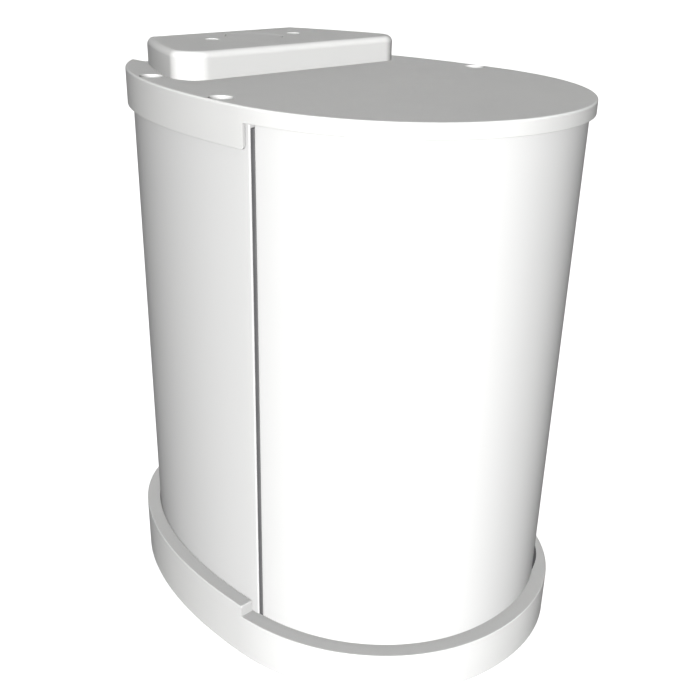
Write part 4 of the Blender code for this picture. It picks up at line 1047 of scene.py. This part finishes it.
def build_slides():
    members = [
        ("outer_slide", "outer_track", "cabinet", 0.1817, 0.1690, 0.0210, 0.0020, -0.101, 0.183),
        ("middle_slide", "middle_track", "middle", 0.1790, 0.1665, 0.0183, 0.0018, -0.100, 0.181),
        ("inner_slide", "inner_track", "drawer", 0.1578, 0.1760, 0.0158, 0.0020, -0.099, 0.178),
    ]
    for side_name, side in SIDES:
        for node, name, body, web, flange, height, sheet, front, back in members:
            path = [(side * flange, -height), (side * web, -height), (side * web, height),
                    (side * flange, height)]
            path = filleted([(x, SLIDE_Z + z) for x, z in path], 0.0028)
            if side * (web - flange) < 0:
                path = path[::-1]
            piece = new_object(f"{side_name}_{name}",
                               prism(ribbon(path[::-1], sheet), front, back, "XZ", 0.0003, 1, 50))
            holes = rods([(y, SLIDE_Z) for y in (-0.075, 0.0, 0.075, 0.150)], 0.0026, 0.2, 0.1, "X", 24)
            if side < 0:
                bmesh.ops.transform(holes, matrix=Matrix.Scale(-1, 4, (1, 0, 0)), verts=holes.verts)
                bmesh.ops.recalc_face_normals(holes, faces=holes.faces)
            combine(piece, holes)
            rider = f"{side_name}_{body}" if body == "middle" else body
            place(piece, "brushed_y", f"{side_name}_{node}", body=rider)


def build_bin():
    """A tapered tub with a rolled rim, two beads round it, and an ear on each side for the bail."""
    low, high = 0.0925, 0.455

    def loop(inset, z):
        points = rounded_box((-0.150 + inset, -0.300 + inset), (0.150 - inset, 0.175 - inset),
                             (0.060 - inset, 0.030 - inset, 0.030 - inset, 0.060 - inset), 10)
        return [(x, y, z) for x, y in points]

    def slope(z):
        return 0.0127 - 0.0087 * (z - low - 0.004) / (high - low - 0.014)

    outside = [(0.017, low), (0.0145, low + 0.0007), (0.0131, low + 0.0020),
               (slope(low + 0.004), low + 0.004)]
    for z in (0.150, 0.385):
        bead = ((0, 0), (0.0008, 0.0012), (0.0012, 0.003), (0.0012, 0.007), (0.0008, 0.0088), (0, 0.010))
        outside += [(slope(z) - d, z + k) for d, k in bead]
    rim = [(0.004, high - 0.010), (0.0012, high - 0.0098), (0.0003, high - 0.0090), (0, high - 0.0080),
           (0, high - 0.0020)]
    rim += [(0.0005, high - 0.0007), (0.0018, high), (0.0052, high), (0.0062, high - 0.0006),
            (0.0066, high - 0.002)]
    inside = [(slope(low + 0.008) + 0.0025, low + 0.008), (0.0168, low + 0.0045), (0.0205, low + 0.0027),
              (0.024, low + 0.0025)]
    rows = [loop(d, z) for d, z in outside + rim + inside]
    tub = new_object("waste_tub", closed_up(skin(rows, cap_start=True, cap_end=True)))
    y, z, radius = BAIL_Y, BAIL_Z, 0.008
    ear = [(y - 0.010, high - 0.0015), (y + 0.010, high - 0.0015)] + arc((y, z), radius, 0, 180, 16)
    ears = bmesh.new()
    for x in (-0.1470, 0.1440):
        prism(ear, x, x + 0.003, "YZ", 0.0004, 1, into=ears)
    combine(tub, ears, "UNION")
    combine(tub, rod(0.0033, 0.16, -0.16, (y, z), "X", 32))
    place(tub, "bin", "waste_bin", body="drawer")


def build_bail():
    """A bent wire handle that lies round the back of the rim, with a ribbed grip."""
    y, z, arm, back, radius = BAIL_Y, BAIL_Z, 0.1515, 0.168, BAIL_RADIUS
    right = [(0.1425, y), (0.1475, y)] + arc((0.1475, y + 0.004), 0.004, -90, 0, 8)[1:]
    right += [(arm, back - 0.040)] + arc((arm - 0.020, back - 0.020), 0.020, 0, 90, 14) + [(0.060, back)]
    bail = tube("bail_wire", [(u, v, z) for u, v in right + mirrored(right)], radius, 20)
    place(bail, "turned", "bail_handle", body="bail", smooth=0)
    bore, grip, half = radius + GAP, 0.0072, 0.050
    profile = [(bore, half), (grip - 0.0012, half), (grip - 0.0003, half - 0.0006), (grip, half - 0.002)]
    for k in range(14):
        x = half - 0.006 - k * 0.0064
        profile += [(grip, x), (grip - 0.0007, x - 0.0006), (grip - 0.0007, x - 0.0020), (grip, x - 0.0026)]
    profile += [(grip, 0.002 - half), (grip - 0.0003, 0.0006 - half), (grip - 0.0012, -half), (bore, -half)]
    add("bail_grip_sleeve", turned(profile, (back, z), "X", 48, ring=True), "dark", "bail_grip", body="bail")


def build_latch():
    """A push latch: a housing on the cabinet's flange and a sprung plunger that meets the drawer's catch."""
    x, z = LATCH_X, LATCH_Z
    body = new_object("push_latch_body", block((x - 0.014, -0.098, z - 0.015),
                                               (x + 0.0175, -0.060, z + 0.015), 0.0015))
    combine(body, rod(0.0043, -0.066, -0.12, (x, z), "Y", 40))
    place(body, "dark", "latch_housing")
    face = DOOR_BACK - 0.0015 + GAP
    profile = [(0, face), (0.0022, face), (0.0034, face + 0.0008), (0.004, face + 0.0022), (0.004, -0.0725),
               (0.0035, -0.072)]
    add("latch_pin", turned(profile + [(0, -0.072)], (x, z), "Y", 48), "gloss_white", "latch_plunger",
        body="latch")


# ---- control board ----

def build_board():
    """The board on the lid's posts, with its switch, relay, supply, capacitors, chip and connector."""
    low, top = 0.8300, 0.8316
    board = new_object("control_board_panel", block((-0.085, 0.150, low), (0.085, 0.226, top), 0.0002, 1))
    switch = block((-0.0045, BUTTON_Y - 0.0045, low + 0.001), (0.0045, BUTTON_Y + 0.0045, low + 0.0045),
                   0.0003, 1)
    combine(board, switch, "UNION")
    place(board, "board", "control_board")
    for name, x, y, a, b, tall, finish in (("relay", 0.045, 0.160, 0.0095, 0.0075, 0.0120, "dark"),
                                           ("supply", -0.052, 0.166, 0.016, 0.011, 0.0140, "dark"),
                                           ("chip", 0.034, 0.210, 0.008, 0.005, 0.0020, "dark"),
                                           ("connector", -0.074, 0.212, 0.006, 0.008, 0.0060, "gloss_white"),
                                           ("fuse_clip", 0.062, 0.160, 0.003, 0.008, 0.0050, "turned")):
        body = block((x - a, y - b, top + 0.00005), (x + a, y + b, top + tall), min(0.0008, tall / 5))
        add("board_" + name, body, finish)
    cans = ((-0.026, 0.160, 0.005, 0.013), (0.026, 0.160, 0.004, 0.011), (-0.052, 0.186, 0.0035, 0.009))
    for k, (x, y, radius, tall) in enumerate(cans):
        profile = [(0, top + tall), (radius * 0.75, top + tall), (radius, top + tall - 0.0008),
                   (radius, top + 0.0015)]
        profile += [(radius * 0.92, top + 0.001), (radius * 0.92, top + 0.00005), (0, top + 0.00005)]
        add(f"board_capacitor_{k + 1}", turned(profile, (x, y), steps=40), "cable")


# ---- room, lights and camera ----

SKY_LOW, SKY_HIGH, FLOOR_SEEN, FLOOR_GLOW = 0.06, 0.19, 0.92, 0.09
CAMERA_SIDE, CAMERA_PLACE = (-0.729, -0.684, 0.10), (-1.0914, -1.0746, 1.0350)
LAMPS = [("key", CAMERA_SIDE, 1.4), ("front wash", CAMERA_SIDE, 2.9), ("back wash", (0.73, 0.684, 0.12), 2.2),
         ("top wash", (0.0, 0.0, 1.0), 1.25)]


def seen_and_lit(tree, output, seen, lit):
    """Shows one shader to the camera and lights the scene with the other, so the backdrop can be white."""
    node, link = node_adder(tree)
    mix = node("MixShader")
    link(node("LightPath").outputs["Is Camera Ray"], mix.inputs["Fac"])
    link(lit.outputs[0], mix.inputs[1])
    link(seen.outputs[0], mix.inputs[2])
    link(mix.outputs["Shader"], output.inputs["Surface"])


def build_room():
    """A pale floor and a sky, both white to the camera."""
    shape = bmesh.new()
    bmesh.ops.create_grid(shape, x_segments=1, y_segments=1, size=30)
    floor = new_object("studio_floor", shape, smooth=0)
    pale = bpy.data.materials.new("pale floor")
    pale.use_nodes = True
    tree = pale.node_tree
    node, link = node_adder(tree)
    shaders = [node("BsdfPrincipled", Base_Color=(0.30, 0.30, 0.30, 1), Roughness=1.0, Specular_IOR_Level=0.0,
                    Emission_Color=(1, 1, 1, 1), Emission_Strength=glow) for glow in (FLOOR_SEEN, FLOOR_GLOW)]
    seen_and_lit(tree, tree.nodes["Material Output"], *shaders)
    floor.data.materials.append(pale)

    world = bpy.data.worlds.new("studio")
    bpy.context.scene.world = world
    world.use_nodes = True
    world.node_tree.nodes.clear()
    node, link = node_adder(world.node_tree)
    seen, lit = (node("Background", Color=(1, 1, 1, 1)) for _ in range(2))
    split = node("SeparateXYZ")
    rise = node("MapRange", From_Min=0.0, From_Max=1.0, To_Min=SKY_LOW, To_Max=SKY_HIGH)
    link(node("TexCoord").outputs["Generated"], split.inputs["Vector"])
    link(split.outputs["Z"], rise.inputs["Value"])
    link(rise.outputs["Result"], lit.inputs["Strength"])
    seen_and_lit(world.node_tree, node("OutputWorld"), seen, lit)


def build_lights():
    """A low key from beside the camera, and shadowless washes from the front, the back and above."""
    for name, towards, strength in LAMPS:
        lamp = bpy.data.lights.new(name, "SUN")
        lamp.energy = strength
        lamp.angle = radians(8)
        lamp.use_shadow = name == "key"
        lamp.cycles.max_bounces = 0
        thing = bpy.data.objects.new(name, lamp)
        thing.rotation_euler = Vector(towards).to_track_quat("Z", "Y").to_euler()
        thing.visible_glossy = towards == CAMERA_SIDE
        bpy.context.scene.collection.objects.link(thing)


def build_camera():
    heading, pitch, roll = radians(43.16), radians(27.25), -0.0321
    level = Vector((cos(heading), sin(heading), 0))
    side = Vector((sin(heading), -cos(heading), 0))
    up = Vector((0, 0, 1))
    forward = level * cos(pitch) - up * sin(pitch)
    down = -(up * cos(pitch) + level * sin(pitch))
    right = side * cos(roll) + down * sin(roll)
    lower = down * cos(roll) - side * sin(roll)
    lens = bpy.data.cameras.new("camera")
    lens.sensor_width = 36
    lens.lens = 52.52
    lens.shift_x, lens.shift_y = -0.0114, 0.1265
    lens.clip_end = 200
    camera = bpy.data.objects.new("camera", lens)
    basis = Matrix((right, -lower, -forward)).transposed().to_4x4()
    camera.matrix_world = Matrix.Translation(CAMERA_PLACE) @ basis
    bpy.context.scene.collection.objects.link(camera)
    bpy.context.scene.camera = camera


for build in (build_lid, build_cabinet, build_plinth, build_feet, build_lid_screws, build_drive_cover,
              build_button, build_lenses, build_door, build_back, build_loom, build_seal, build_frames,
              build_power_screws, build_drive, build_ram, build_carrier, build_slides, build_bin, build_bail,
              build_latch, build_board):
    build()
dress(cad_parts["drive_plate"], "zinc")
build_room()
build_lights()
build_camera()
bpy.context.scene.view_settings.view_transform = "Standard"
bpy.context.scene.view_settings.gamma = 0.72
